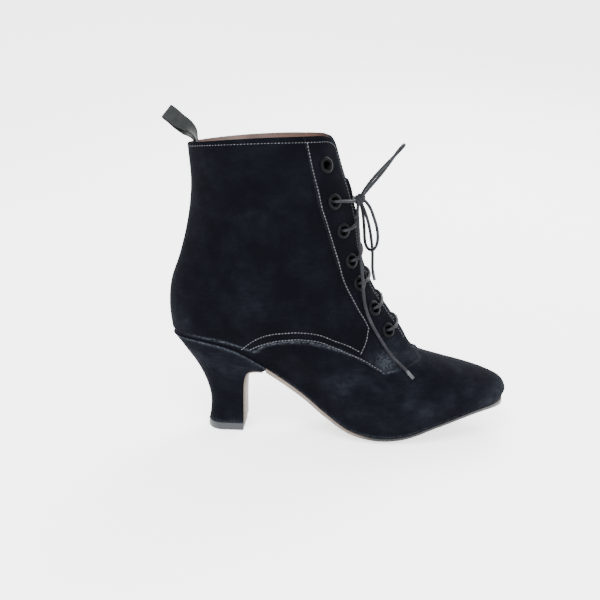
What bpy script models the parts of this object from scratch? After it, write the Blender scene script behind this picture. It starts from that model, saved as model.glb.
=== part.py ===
"""Lace up boot for the right foot: velvet upper, covered curved heel and thin leather turn sole.

Metres, +Z up. The origin is the middle of the heel tip's bottom face. +X runs to the toe and -Y is the
lateral (outer) side. The upper is one shell made of rings: a ring's rise is 0 at the sole line and 1 at the
collar, and its angle is 0 at the back seam and pi at the front ridge.
"""

import math

import bmesh
import bpy
import numpy as np

LATERAL = -1.0
MEDIAL = 1.0
SIDES = (("lateral", LATERAL), ("medial", MEDIAL))

# Driving sizes
BOOT_LENGTH = 0.2520
HEEL_BACK_X = -0.0417
HEEL_HEIGHT = 0.0735
COLLAR_HEIGHT = 0.2125
INSTEP_HEIGHT = 0.0640
BALL_WIDTH = 0.0760
TOE_SPRING = 0.0253
WALL = 0.0018
QUARTER_STEP = 0.0008
FACING_STEP = 0.0006
STEP_RUN = 0.0004
CLEARANCE = 0.0003
SOLE_THICKNESS = 0.0030
INSOLE_THICKNESS = 0.0020
TONGUE_THICKNESS = 0.0016
LIFT_THICKNESS = 0.0055
LACE_DIAMETER = 0.0023

# Sole line: share of the boot's length from the back, height of the upper's lower rim
SOLE_LINE = (
    ("seat back", 0.009, 0.0735),
    ("seat", 0.100, 0.0722),
    ("seat front", 0.205, 0.0652),
    ("breast", 0.300, 0.0520),
    ("waist", 0.390, 0.0364),
    ("waist low", 0.465, 0.0210),
    ("tread back", 0.535, 0.0092),
    ("ball", 0.600, 0.0052),
    ("tread front", 0.680, 0.0061),
    ("toe rise", 0.790, 0.0155),
    ("toe spring", 0.900, 0.0230),
    ("toe", 0.989, TOE_SPRING),
)

# Back seam: along as a share of the length, up as a share of the way from the seat to the collar
BACK_SEAM = (
    ("seat", 0.009, 0.000),
    ("swell", 0.000, 0.145),
    ("heel top", 0.006, 0.280),
    ("hollow", 0.032, 0.420),
    ("ankle", 0.053, 0.565),
    ("slim", 0.069, 0.790),
    ("collar", 0.061, 1.000),
)

# Front ridge: share of the length, height
FRONT_RIDGE = (
    ("toe", 0.989, TOE_SPRING),
    ("toe tip", 1.000, 0.0315),
    ("toe top", 0.990, 0.0382),
    ("toe back", 0.951, 0.0445),
    ("vamp low", 0.902, 0.0493),
    ("vamp", 0.831, 0.0544),
    ("vamp high", 0.761, 0.0593),
    ("throat", 0.713, INSTEP_HEIGHT),
    ("tongue root", 0.685, 0.0755),
    ("instep", 0.636, 0.0935),
    ("instep high", 0.592, 0.1100),
    ("bend", 0.566, 0.1245),
    ("shin low", 0.547, 0.1400),
    ("shin", 0.536, 0.1590),
    ("shin high", 0.517, 0.1780),
    ("collar low", 0.492, 0.1970),
    ("collar", 0.466, 0.2190),
)
COLLAR_ARCH = 0.0018

# Half widths as shares of half the ball width, at four places along each ring
STATIONS = (0.10, 0.40, 0.70, 0.92)
LATERAL_WIDTHS = (
    # rise, heel, waist, ball, toe
    (0.00, 0.66, 0.66, 0.91, 0.88),
    (0.06, 0.72, 0.73, 1.00, 0.97),
    (0.16, 0.77, 0.80, 1.00, 0.97),
    (0.34, 0.78, 0.86, 0.97, 0.97),
    (0.55, 0.77, 0.82, 0.86, 0.86),
    (0.80, 0.83, 0.86, 0.86, 0.86),
    (1.00, 0.88, 0.90, 0.88, 0.88),
)
MEDIAL_WIDTHS = (
    # rise, heel, waist, ball, toe
    (0.00, 0.64, 0.50, 0.91, 0.88),
    (0.06, 0.70, 0.60, 1.00, 0.97),
    (0.16, 0.75, 0.74, 1.00, 0.97),
    (0.34, 0.77, 0.83, 0.97, 0.97),
    (0.55, 0.76, 0.80, 0.86, 0.86),
    (0.80, 0.81, 0.84, 0.86, 0.86),
    (1.00, 0.85, 0.88, 0.88, 0.88),
)

# How far each ring's round ends reach: back end, front end
END_REACH = (
    # rise, back, front
    (0.00, 0.030, 0.066),
    (0.06, 0.031, 0.072),
    (0.16, 0.033, 0.098),
    (0.26, 0.034, 0.125),
    (0.34, 0.035, 0.125),
    (0.45, 0.036, 0.085),
    (0.60, 0.038, 0.058),
    (1.00, 0.046, 0.044),
)

# Swing of the middle line to the medial side, from the waist forward
SWING_START = 0.060
SWING_TOE = 0.013

# Gap between the facings: share of the way from throat to collar, half the gap
THROAT_GAP = (
    (0.00, 0.0050),
    (0.40, 0.0070),
    (0.75, 0.0090),
    (1.00, 0.0095),
)
THROAT_ROUND = 0.06
CORNER_RISE = 0.045
CORNER_BACK = 0.0125

# Lower edge of the quarter over the vamp, side view: along, up
QUARTER_EDGE = (
    (0.0205, 0.0665),
    (0.0300, 0.0715),
    (0.0410, 0.0748),
    (0.0540, 0.0762),
    (0.0680, 0.0750),
    (0.0820, 0.0708),
    (0.0950, 0.0647),
    (0.1070, 0.0580),
    (0.1160, 0.0530),
)
QUARTER_LOW = 0.022

# Back edge of the eyelet facing, side view: along, up
FACING_EDGE = (
    (0.0970, 0.0640),
    (0.1015, 0.0770),
    (0.1020, 0.0870),
    (0.0950, 0.0995),
    (0.0870, 0.1135),
    (0.0810, 0.1290),
    (0.0760, 0.1440),
    (0.0715, 0.1590),
    (0.0670, 0.1730),
    (0.0632, 0.1886),
    (0.0590, 0.2060),
    (0.0565, 0.2160),
)

# Eyelet centres, side view, from the top down: along, up
EYELETS = (
    (0.0713, 0.1994),
    (0.0775, 0.1747),
    (0.0838, 0.1544),
    (0.0899, 0.1324),
    (0.0963, 0.1159),
    (0.1075, 0.0975),
    (0.1180, 0.0812),
)
EYELET_HOLE = 0.0031
EYELET_BARREL = 0.0037
EYELET_FLANGE = 0.0057
EYELET_RISE = 0.0010
EYELET_SIDES = 8

# Laces: how far the middle of a run lies over the last's surface, above an eyelet, on the facing, in the gap
OVER_EYELET = 0.0045
OVER_FACING = 0.0034
OVER_GAP = 0.0017
UNDER_FACING = -0.0015
EYELET_REACH = 0.0080
EDGE_MARGIN = 0.0014
LACE_STAGGER = 0.0005
LACE_SIDES = 6
LACE_COLOUR = (0.06, 0.062, 0.07)
LACE_ROUGHNESS = 0.55
LACED_EYELETS = (1, 2, 3, 4, 5, 6)
KNOT_CENTRE = (0.0957, -0.0045, 0.1746)
KNOT_RADII = (0.0037, 0.0050, 0.0047)
KNOT_BACK = (0.0902, -0.0040, 0.1748)

# Free runs of the lace: along, across, up. The loops stand off the shin and the near end lies on the facing
LOOP_UP = (
    (0.0972, -0.0075, 0.1784),
    (0.0984, -0.0096, 0.1810),
    (0.1016, -0.0110, 0.1862),
    (0.1082, -0.0116, 0.1945),
    (0.1155, -0.0116, 0.2025),
    (0.1218, -0.0113, 0.2091),
    (0.1247, -0.0095, 0.2123),
    (0.1259, -0.0052, 0.2136),
    (0.1247, -0.0009, 0.2123),
    (0.1220, 0.0009, 0.2088),
    (0.1170, 0.0010, 0.2012),
    (0.1110, 0.0006, 0.1928),
    (0.1044, -0.0004, 0.1847),
    (0.1008, -0.0016, 0.1804),
    (0.0986, -0.0029, 0.1779),
)
LOOP_DOWN = (
    (0.1000, -0.0053, 0.1732),
    (0.1024, -0.0057, 0.1708),
    (0.1054, -0.0060, 0.1640),
    (0.1084, -0.0062, 0.1555),
    (0.1096, -0.0059, 0.1475),
    (0.1091, -0.0053, 0.1425),
    (0.1077, -0.0038, 0.1389),
    (0.1048, -0.0004, 0.1370),
    (0.1018, 0.0032, 0.1386),
    (0.1004, 0.0048, 0.1430),
    (0.1000, 0.0052, 0.1500),
    (0.0992, 0.0048, 0.1580),
    (0.0980, 0.0030, 0.1660),
    (0.0965, -0.0009, 0.1710),
)
END_NEAR = (
    (0.0946, -0.0079, 0.1709),
    (0.0944, -0.0110, 0.1676),
    (0.0949, -0.0146, 0.1615),
    (0.0955, -0.0164, 0.1540),
    (0.0966, -0.0172, 0.1440),
    (0.0980, -0.0188, 0.1320),
    (0.0993, -0.0216, 0.1205),
    (0.1001, -0.0234, 0.1105),
    (0.1016, -0.0244, 0.1022),
    (0.1042, -0.0248, 0.0943),
    (0.1077, -0.0238, 0.0866),
    (0.1122, -0.0226, 0.0790),
    (0.1170, -0.0216, 0.0711),
    (0.1224, -0.0223, 0.0638),
    (0.1298, -0.0243, 0.0574),
    (0.1377, -0.0267, 0.0497),
)
END_FAR = (
    (0.0978, -0.0047, 0.1702),
    (0.0994, -0.0046, 0.1668),
    (0.1018, -0.0032, 0.1600),
    (0.1038, -0.0004, 0.1520),
    (0.1052, 0.0040, 0.1440),
    (0.1064, 0.0088, 0.1350),
    (0.1068, 0.0132, 0.1270),
    (0.1072, 0.0170, 0.1190),
    (0.1090, 0.0194, 0.1110),
)
# cord, its route, number of points on it
CORDS = (
    ("lace_loop_up", LOOP_UP, 16),
    ("lace_loop_down", LOOP_DOWN, 13),
    ("lace_end_near", END_NEAR, 22),
    ("lace_end_far", END_FAR, 10),
)

# Heel block, one row for each loop: back and front edge (along, up), share of the top loop's width
HEEL_LOOPS = (
    # back x, back z, front x, front z, width
    (-0.0139, 0.0058, 0.0131, 0.0058, 0.58),
    (-0.0128, 0.0130, 0.0131, 0.0130, 0.56),
    (-0.0127, 0.0228, 0.0131, 0.0228, 0.55),
    (-0.0148, 0.0324, 0.0133, 0.0320, 0.59),
    (-0.0185, 0.0420, 0.0142, 0.0405, 0.66),
    (-0.0236, 0.0514, 0.0170, 0.0468, 0.75),
    (-0.0303, 0.0607, 0.0230, 0.0493, 0.86),
    (-0.0355, 0.0680, 0.0285, 0.0500, 0.95),
)
HEEL_COLUMNS = 8
BREAST_THICKNESS = 0.0012
BREAST_MARGIN = 0.0014
LIFT_MARGIN = 0.0004

# Half width of the tongue and how far it runs, as rises of the rings
TONGUE_HALF = 0.0200
TONGUE_LOW = 0.300
TONGUE_HIGH = 0.975

# Pull loop, middle of the ribbon from the sewn end round the fold and back: along, up, turn about its run
PULL_LOOP = (
    (-0.0204, 0.2010, 0),
    (-0.0209, 0.2080, 0),
    (-0.0217, 0.2146, 0),
    (-0.0240, 0.2192, 20),
    (-0.0280, 0.2232, 45),
    (-0.0326, 0.2268, 62),
    (-0.0366, 0.2303, 65),
)
PULL_FOLD = 0.0022
PULL_WIDTH = 0.0110
PULL_THICKNESS = 0.0009


def smooth_table(keys, values, level=False):
    """A smooth curve through the rows of a table, read at any key; a level one never swings past its rows."""
    keys = np.asarray(keys, float)
    values = np.asarray(values, float).reshape(len(keys), -1)
    gaps = np.diff(keys)[:, None]
    rates = np.diff(values, axis=0) / gaps
    slopes = np.vstack([rates[:1], rates, rates[-1:]])[:-1]
    slopes[1:-1] = (gaps[1:] * rates[:-1] + gaps[:-1] * rates[1:]) / (gaps[1:] + gaps[:-1])
    slopes[-1] = rates[-1]
    if level:
        low = np.minimum(np.abs(rates[:-1]), np.abs(rates[1:]))
        same = rates[:-1] * rates[1:] > 0
        slopes[1:-1] = np.where(same, np.clip(slopes[1:-1], -2 * low, 2 * low), 0.0)

    def read(at):
        at = np.clip(np.asarray(at, float), keys[0], keys[-1])
        row = np.clip(np.searchsorted(keys, at, side="right") - 1, 0, len(keys) - 2)
        gap = keys[row + 1] - keys[row]
        t = ((at - keys[row]) / gap)[..., None]
        low = values[row] * (1 + 2 * t) * (1 - t) ** 2
        high = values[row + 1] * t * t * (3 - 2 * t)
        lean = slopes[row] * t * (1 - t) ** 2 + slopes[row + 1] * t * t * (t - 1)
        return low + high + lean * gap[..., None]

    return read


def chord_shares(points):
    """Share of the way along a row of points, by straight distance."""
    steps = np.linalg.norm(np.diff(np.asarray(points, float), axis=0), axis=1)
    run = np.concatenate([[0.0], np.cumsum(steps)])
    return run / run[-1]


def along(share):
    return HEEL_BACK_X + share * BOOT_LENGTH


def ease(t):
    t = np.clip(t, 0.0, 1.0)
    return t * t * (3 - 2 * t)


def side_curve(points):
    return smooth_table(chord_shares(points), points)


SOLE_POINTS = [(along(x), z) for _, x, z in SOLE_LINE]
BACK_POINTS = [(along(x), HEEL_HEIGHT + up * (COLLAR_HEIGHT - HEEL_HEIGHT)) for _, x, up in BACK_SEAM]
FRONT_POINTS = [(along(x), z) for _, x, z in FRONT_RIDGE]
FRONT_SHARES = chord_shares(FRONT_POINTS)
THROAT_RISE = float(FRONT_SHARES[[row[0] for row in FRONT_RIDGE].index("throat")])

sole_curve = side_curve(SOLE_POINTS)
back_curve = side_curve(BACK_POINTS)
front_curve = side_curve(FRONT_POINTS)
width_tables = {
    LATERAL: smooth_table([row[0] for row in LATERAL_WIDTHS], [row[1:] for row in LATERAL_WIDTHS]),
    MEDIAL: smooth_table([row[0] for row in MEDIAL_WIDTHS], [row[1:] for row in MEDIAL_WIDTHS]),
}
reach_table = smooth_table([row[0] for row in END_REACH], [row[1:] for row in END_REACH])
gap_table = smooth_table([row[0] for row in THROAT_GAP], [row[1] for row in THROAT_GAP])


def core_width(side, share, rise):
    """Half width of a ring before its ends are rounded."""
    widths = width_tables[side](rise)
    total = widths[..., 0]
    for place in range(len(STATIONS) - 1):
        part = (share - STATIONS[place]) / (STATIONS[place + 1] - STATIONS[place])
        total = total + (widths[..., place + 1] - widths[..., place]) * ease(part)
    return total * BALL_WIDTH / 2


def round_end(distance, reach):
    near = 1 - np.clip(distance / reach, 0.0, 1.0)
    return np.sqrt(np.clip(1 - near * near, 0.0, 1.0))


def ring_length(rise):
    return np.linalg.norm(front_curve(rise) - back_curve(rise), axis=-1)


def middle_line(x):
    """How far the middle of the last has swung to the medial side."""
    ahead = np.clip((x - SWING_START) / (along(1.0) - SWING_START), 0.0, None)
    return SWING_TOE * ahead**2


def upper_base(side, angle, rise):
    """Points of the last's surface at a ring's angle and rise."""
    angle, rise = np.broadcast_arrays(np.asarray(angle, float), np.asarray(rise, float))
    share = (1 - np.cos(angle)) / 2
    back = back_curve(rise)
    front = front_curve(rise)
    chord = back + (front - back) * share[..., None]
    sole_ends = sole_curve(np.zeros_like(share)) * (1 - share[..., None])
    sole_ends = sole_ends + sole_curve(np.ones_like(share)) * share[..., None]
    sag = (sole_curve(share) - sole_ends) * ((1 - rise) ** 2)[..., None]
    flat = chord + sag
    arch = 4 * share * (1 - share) * COLLAR_ARCH * rise**2
    reach = reach_table(rise)
    length = ring_length(rise)
    rounding = round_end(share * length, reach[..., 0]) * round_end((1 - share) * length, reach[..., 1])
    half = core_width(side, share, rise) * rounding
    return np.stack([flat[..., 0], middle_line(flat[..., 0]) + side * half, flat[..., 1] + arch], axis=-1)


def upper_normal(side, angle, rise):
    """Outward unit normals of the last's surface."""
    angle, rise = np.broadcast_arrays(np.asarray(angle, float), np.asarray(rise, float))
    step = 2e-3
    around = upper_base(side, np.clip(angle + step, 0, math.pi), rise)
    around = around - upper_base(side, np.clip(angle - step, 0, math.pi), rise)
    upward = upper_base(side, angle, np.clip(rise + step, 0, 1))
    upward = upward - upper_base(side, angle, np.clip(rise - step, 0, 1))
    normal = np.cross(upward, around) * side
    return normal / np.linalg.norm(normal, axis=-1, keepdims=True)


def upper_surface(side, angle, rise, offset):
    offset = np.asarray(offset, float)[..., None]
    return upper_base(side, angle, rise) + upper_normal(side, angle, rise) * offset


def angle_at_half_width(side, half, rise):
    """Angle near the front of a ring where its half width has come down to the given size."""
    core = core_width(side, np.ones_like(rise), rise)
    reach = reach_table(rise)[..., 1]
    distance = reach * (1 - np.sqrt(np.clip(1 - (half / core) ** 2, 0.0, 1.0)))
    share = 1 - distance / ring_length(rise)
    return np.arccos(1 - 2 * share)


def half_gap(rise):
    """Half of the opening between the facings, with a round foot and a round top corner."""
    up = np.clip((rise - THROAT_RISE) / (1 - THROAT_RISE), 0.0, 1.0)
    foot = np.clip(up / THROAT_ROUND, 0.0, 1.0)
    foot = np.sqrt(np.clip(1 - (1 - foot) ** 2, 0.0, 1.0))
    top = np.clip((rise - 1 + CORNER_RISE) / CORNER_RISE, 0.0, 1.0)
    corner = 1 - np.sqrt(1 - top**2)
    return gap_table(up)[..., 0] * foot + CORNER_BACK * corner


def end_angle(side, rise):
    return angle_at_half_width(side, half_gap(rise), rise)


def locate(side, x, z):
    """Angle and rise of the surface point that has this place in the side view."""
    angles, rises = np.meshgrid(np.linspace(0.05, math.pi - 0.02, 60), np.linspace(0, 1, 60))
    places = upper_base(side, angles, rises)
    nearest = np.argmin((places[..., 0] - x) ** 2 + (places[..., 2] - z) ** 2)
    guess = np.array([angles.flat[nearest], rises.flat[nearest]])
    target = np.array([x, z])
    step = 1e-4
    for _ in range(12):
        here = upper_base(side, guess[0], guess[1])[[0, 2]]
        turn = (upper_base(side, guess[0] + step, guess[1])[[0, 2]] - here) / step
        lift = (upper_base(side, guess[0], guess[1] + step)[[0, 2]] - here) / step
        guess = guess + np.linalg.solve(np.column_stack([turn, lift]), target - here)
        guess = np.clip(guess, [0.01, 0.0], [math.pi - 0.005, 1.0])
    return guess


def edge_rise_table(side):
    """Rise of the quarter's lower edge for each share of the way round."""
    places = [locate(side, x, z) for x, z in QUARTER_EDGE]
    shares = [0.0, 0.5 * places[0][0] / math.pi] + [p[0] / math.pi for p in places] + [1.0]
    rises = [QUARTER_LOW, QUARTER_LOW] + [p[1] for p in places] + [THROAT_RISE]
    return smooth_table(shares, rises, level=True)


def facing_share_table(side):
    """Share of the way round of the facing's back edge, for each rise."""
    places = [locate(side, x, z) for x, z in FACING_EDGE]
    rises = np.array([p[1] for p in places])
    shares = np.array([p[0] for p in places]) / end_angle(side, rises)
    return smooth_table(rises, shares)


edge_rise = {side: edge_rise_table(side) for _, side in SIDES}
facing_share = {side: facing_share_table(side) for _, side in SIDES}

# Grid of the shell: shares of the way up the vamp, then up the quarter
VAMP_ROWS = (0.0, 0.10, 0.24, 0.42, 0.60, 0.78, 0.90, 1.0)
QUARTER_ROWS = tuple(i / 17 for i in range(17)) + (0.962, 0.982, 1.0)
BACK_COLUMNS = 15
FRONT_COLUMNS = 7


def rise_above(side, share, up):
    low = edge_rise[side](share)[..., 0]
    return low + up * (1 - low)


def facing_column(side, up):
    """Share of the way round where the facing's back edge crosses a quarter row."""
    share = np.full_like(np.asarray(up, float), 0.7)
    for _ in range(40):
        share = 0.5 * share + 0.5 * facing_share[side](rise_above(side, share, up))[..., 0]
    return share


def column_shares(edge):
    """Shares of the way round for one row: to the facing's edge, over its step, then to the front."""
    back = [edge * i / BACK_COLUMNS for i in range(BACK_COLUMNS + 1)]
    front = [edge + (1 - edge) * i / FRONT_COLUMNS for i in range(FRONT_COLUMNS + 1)]
    front[0] = edge + STEP_RUN / 0.12
    return np.array(back + front)


def shell_rows(side):
    """Rows of angle, rise and outer step height for one side of the upper."""
    rows = []
    lowest = column_shares(float(facing_column(side, 0.0)))
    for up in VAMP_ROWS:
        rises = edge_rise[side](lowest)[..., 0] * up
        rows.append((lowest * math.pi, rises, np.zeros_like(rises)))
    step = np.zeros_like(lowest) + QUARTER_STEP
    step[BACK_COLUMNS + 1:] += FACING_STEP
    for up in QUARTER_ROWS:
        shares = column_shares(float(facing_column(side, up)))
        up = max(up, STEP_RUN / 0.14)
        rises = rise_above(side, shares, up)
        angles = shares * end_angle(side, rises)
        rows.append((angles, rises, step))
    return rows


def new_material(name, colour, roughness, metallic=0.0):
    material = bpy.data.materials.new(name)
    material.use_nodes = True
    shader = material.node_tree.nodes["Principled BSDF"]
    shader.inputs["Base Color"].default_value = (*colour, 1.0)
    shader.inputs["Roughness"].default_value = roughness
    shader.inputs["Metallic"].default_value = metallic
    return material


def new_object(name, mesh, colour, roughness, metallic=0.0, smooth_angle=35.0):
    mesh.materials.append(new_material(name, colour, roughness, metallic))
    mesh.shade_smooth()
    mesh.set_sharp_from_angle(angle=math.radians(smooth_angle))
    item = bpy.data.objects.new(name, mesh)
    bpy.context.scene.collection.objects.link(item)
    return item


def closed_mesh(name, points, faces, weld=2e-5):
    """A mesh with coincident points merged and its faces turned outward."""
    mesh = bpy.data.meshes.new(name)
    mesh.from_pydata([tuple(p) for p in points], [], faces)
    shape = bmesh.new()
    shape.from_mesh(mesh)
    bmesh.ops.remove_doubles(shape, verts=shape.verts, dist=weld)
    bmesh.ops.dissolve_degenerate(shape, edges=shape.edges, dist=1e-6)
    bmesh.ops.recalc_face_normals(shape, faces=shape.faces)
    shape.to_mesh(mesh)
    shape.free()
    return mesh


def grid_faces(rows, columns, start=0, flip=False):
    faces = []
    for row in range(rows - 1):
        for column in range(columns - 1):
            first = start + row * columns + column
            face = (first, first + 1, first + 1 + columns, first + columns)
            faces.append(face[::-1] if flip else face)
    return faces


RIM_ANGLES = column_shares(float(facing_column(LATERAL, 0.0))) * math.pi
HEEL_ANGLES = RIM_ANGLES[: HEEL_COLUMNS + 1]


def upper_mesh():
    lateral = shell_rows(LATERAL)
    medial = shell_rows(MEDIAL)
    outer = []
    inner = []
    for (a1, r1, s1), (a2, r2, s2) in zip(lateral, medial):
        near = upper_surface(LATERAL, a1, r1, s1)[::-1]
        far = upper_surface(MEDIAL, a2, r2, s2)[1:]
        outer.append(np.vstack([near, far]))
        near = upper_surface(LATERAL, a1, r1, np.zeros_like(s1) - WALL)[::-1]
        far = upper_surface(MEDIAL, a2, r2, np.zeros_like(s2) - WALL)[1:]
        inner.append(np.vstack([near, far]))
    rows = len(outer)
    columns = len(outer[0])
    points = np.vstack(outer + inner)
    shift = rows * columns
    faces = grid_faces(rows, columns) + grid_faces(rows, columns, shift, flip=True)
    for column in range(columns - 1):
        low = (column, column + 1)
        faces.append((low[1], low[0], low[0] + shift, low[1] + shift))
        high = (column + (rows - 1) * columns, column + 1 + (rows - 1) * columns)
        faces.append((high[0], high[1], high[1] + shift, high[0] + shift))
    for row in range(len(VAMP_ROWS) - 1, rows - 1):
        for column, flip in ((0, False), (columns - 1, True)):
            first = row * columns + column
            face = (first, first + columns, first + columns + shift, first + shift)
            faces.append(face[::-1] if flip else face)
    return closed_mesh("upper", points, faces)


def rim_point(side, angle):
    return upper_base(side, angle, 0.0)


def rim_direction(side, angle):
    """Level outward direction of the upper's lower rim."""
    normal = upper_normal(side, angle, 0.0)
    normal[..., 2] = 0.0
    return normal / np.linalg.norm(normal, axis=-1, keepdims=True)


OUTSOLE_ACROSS = (-1.0, -0.88, -0.6, 0.0, 0.6, 0.88, 1.0)


def footbed_sheet(name, angles, across, spread, top, bottom, trim=0.0):
    """A closed sheet across the foot; top and bottom give its heights from the rim's and the cross share."""
    across = np.array(across)
    near = rim_point(LATERAL, angles) + rim_direction(LATERAL, angles) * spread
    far = rim_point(MEDIAL, angles) + rim_direction(MEDIAL, angles) * spread
    for edge in (near, far):
        edge[0] = edge[0] + (edge[1] - edge[0]) * trim / (edge[1, 0] - edge[0, 0])
    share = (across + 1) / 2
    plan = near[:, None, :] * (1 - share)[None, :, None] + far[:, None, :] * share[None, :, None]
    upper_face = plan.copy()
    lower_face = plan.copy()
    upper_face[..., 2] = top(plan[..., 2], across)
    lower_face[..., 2] = bottom(plan[..., 2], across)
    rows, columns = plan.shape[:2]
    points = np.vstack([upper_face.reshape(-1, 3), lower_face.reshape(-1, 3)])
    shift = rows * columns
    faces = grid_faces(rows, columns) + grid_faces(rows, columns, shift, flip=True)
    open_ends = [row for row in (0, rows - 1) if np.linalg.norm(near[row] - far[row]) > CLEARANCE]
    for row in open_ends:
        for column in range(columns - 1):
            first = row * columns + column
            faces.append((first, first + 1, first + 1 + shift, first + shift))
    for row in range(rows - 1):
        for column in (0, columns - 1):
            first = row * columns + column
            faces.append((first, first + columns, first + columns + shift, first + shift))
    return closed_mesh(name, points, faces)


def make_upper():
    item = new_object("upper", upper_mesh(), (0.012, 0.014, 0.024), 0.9)
    cutter = cylinder_cutters("eyelet_cutters", EYELET_BARREL + 0.0004)
    cut = item.modifiers.new("eyelet holes", "BOOLEAN")
    cut.operation = "DIFFERENCE"
    cut.object = cutter
    return item


def make_outsole():
    crown = 0.0029

    def top(rim, across):
        return rim - CLEARANCE + 0 * across

    def bottom(rim, across):
        edge = rim - CLEARANCE - SOLE_THICKNESS
        return np.maximum(edge - crown * (1 - ease((np.abs(across) - 0.55) / 0.45)), 0.0)

    mesh = footbed_sheet("outsole", RIM_ANGLES[HEEL_COLUMNS:], OUTSOLE_ACROSS, 0.0009, top, bottom, trim=0.0012)
    return new_object("outsole", mesh, (0.30, 0.24, 0.18), 0.7)


def make_insole():

    def top(rim, across):
        return rim + CLEARANCE + INSOLE_THICKNESS + 0 * across

    def bottom(rim, across):
        return rim + CLEARANCE + 0 * across

    mesh = footbed_sheet("insole", RIM_ANGLES, (-1.0, 0.0, 1.0), -(WALL + 0.0007), top, bottom)
    return new_object("insole", mesh, (0.22, 0.14, 0.10), 0.75)


def heel_rims():
    """Outline of the seat on each side, from the back to the breast."""
    return {side: rim_point(side, HEEL_ANGLES) for _, side in SIDES}


def heel_outline(back, front, width):
    """Loop of points round the heel at one height, from the lateral breast corner to the medial one."""
    loops = []
    for rim in heel_rims().values():
        shares = (rim[:, 0] - rim[0, 0]) / (rim[-1, 0] - rim[0, 0])
        x = back[0] + (front[0] - back[0]) * shares
        z = back[1] + (front[1] - back[1]) * shares
        loops.append(np.column_stack([x, rim[:, 1] * width, z]))
    return np.vstack([loops[0][::-1], loops[1][1:]])


def heel_mesh():
    loops = [heel_outline(row[:2], row[2:4], row[4]) for row in HEEL_LOOPS]
    drop = np.array([0.0, 0.0, CLEARANCE])
    tops = []
    for _, side in SIDES:
        spread = rim_direction(side, HEEL_ANGLES) * QUARTER_STEP
        tops.append(rim_point(side, HEEL_ANGLES) + spread - drop)
    loops.append(np.vstack([tops[0][::-1], tops[1][1:]]))
    columns = len(loops[0])
    points = [point for loop in loops for point in loop]
    faces = grid_faces(len(loops), columns)
    for row in range(len(loops) - 1):
        first = row * columns
        faces.append((first, first + columns, first + 2 * columns - 1, first + columns - 1))
    for row, flip in ((0, True), (len(loops) - 1, False)):
        first = row * columns
        for step in range(HEEL_COLUMNS):
            face = (first + step, first + step + 1, first + columns - 2 - step, first + columns - 1 - step)
            if face[1] == face[2]:
                face = (face[0], face[1], face[3])
            faces.append(face[::-1] if flip else face)
    return closed_mesh("heel", points, faces)


def make_heel():
    return new_object("heel", heel_mesh(), (0.012, 0.014, 0.024), 0.9)


def mitre_direction(before, here, after):
    """Direction of a run at one of its points, half way between its two straight parts."""
    back = (here - before) / np.linalg.norm(here - before)
    ahead = (after - here) / np.linalg.norm(after - here)
    return back + ahead


def make_heel_breast():
    """Leather face in front of the heel block, curving forward under the waist."""
    run = np.array([(row[2], row[3]) for row in HEEL_LOOPS])
    half_top = {side: abs(rim[-1, 1]) for side, rim in heel_rims().items()}
    ahead = np.gradient(run, axis=0)
    ahead[1:-1] = [mitre_direction(run[i - 1], run[i], run[i + 1]) for i in range(1, len(run) - 1)]
    ahead = ahead / np.linalg.norm(ahead, axis=1, keepdims=True)
    points = []
    for here, direction, row in zip(run, ahead, HEEL_LOOPS):
        out = np.array([direction[1], -direction[0]])
        for side in (LATERAL, MEDIAL):
            y = side * (half_top[side] * row[4] - BREAST_MARGIN)
            for lift in (CLEARANCE, CLEARANCE + BREAST_THICKNESS):
                place = here + out * lift
                points.append((place[0], y, place[1]))
    faces = []
    for row in range(len(run) - 1):
        a = row * 4
        b = a + 4
        for first, second in ((0, 1), (1, 3), (3, 2), (2, 0)):
            faces.append((a + first, a + second, b + second, b + first))
    last = 4 * (len(run) - 1)
    faces.append((0, 1, 3, 2))
    faces.append((last, last + 2, last + 3, last + 1))
    mesh = closed_mesh("heel_breast", points, faces)
    return new_object("heel_breast", mesh, (0.35, 0.27, 0.20), 0.6)


def make_top_lift():
    row = HEEL_LOOPS[0]
    loop = heel_outline((row[0] - LIFT_MARGIN, 0.0), (row[2] + LIFT_MARGIN, 0.0), row[4] * 1.03)
    count = len(loop)
    points = [(x, y, 0.0) for x, y, _ in loop] + [(x, y, LIFT_THICKNESS) for x, y, _ in loop]
    faces = [tuple(range(count)), tuple(range(count, 2 * count))]
    for i in range(count):
        j = (i + 1) % count
        faces.append((i, j, j + count, i + count))
    mesh = closed_mesh("top_lift", points, faces)
    return new_object("top_lift", mesh, (0.05, 0.05, 0.055), 0.6)


def make_tongue():
    """Soft sheet under both facings, from inside the vamp to the collar."""
    columns = np.linspace(-1.0, 1.0, 11)
    rises = np.linspace(TONGUE_LOW, TONGUE_HIGH, 15)
    sheets = []
    under = WALL + 0.0013
    for depth in (under, under + TONGUE_THICKNESS):
        rows = []
        for rise in rises:
            points = []
            for column in columns:
                side = LATERAL if column < 0 else MEDIAL
                edge = angle_at_half_width(side, np.asarray(TONGUE_HALF), np.asarray(rise))
                angle = math.pi - (math.pi - edge) * abs(column)
                points.append(upper_surface(side, angle, rise, -depth))
            rows.append(points)
        sheets.append(np.array(rows))
    rows, count = sheets[0].shape[:2]
    points = np.vstack([sheet.reshape(-1, 3) for sheet in sheets])
    shift = rows * count
    faces = grid_faces(rows, count) + grid_faces(rows, count, shift, flip=True)
    for column in range(count - 1):
        for row in (0, rows - 1):
            first = row * count + column
            faces.append((first, first + 1, first + 1 + shift, first + shift))
    for row in range(rows - 1):
        for column in (0, count - 1):
            first = row * count + column
            faces.append((first, first + count, first + count + shift, first + shift))
    mesh = closed_mesh("tongue", points, faces)
    return new_object("tongue", mesh, (0.02, 0.02, 0.03), 0.9)


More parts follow.
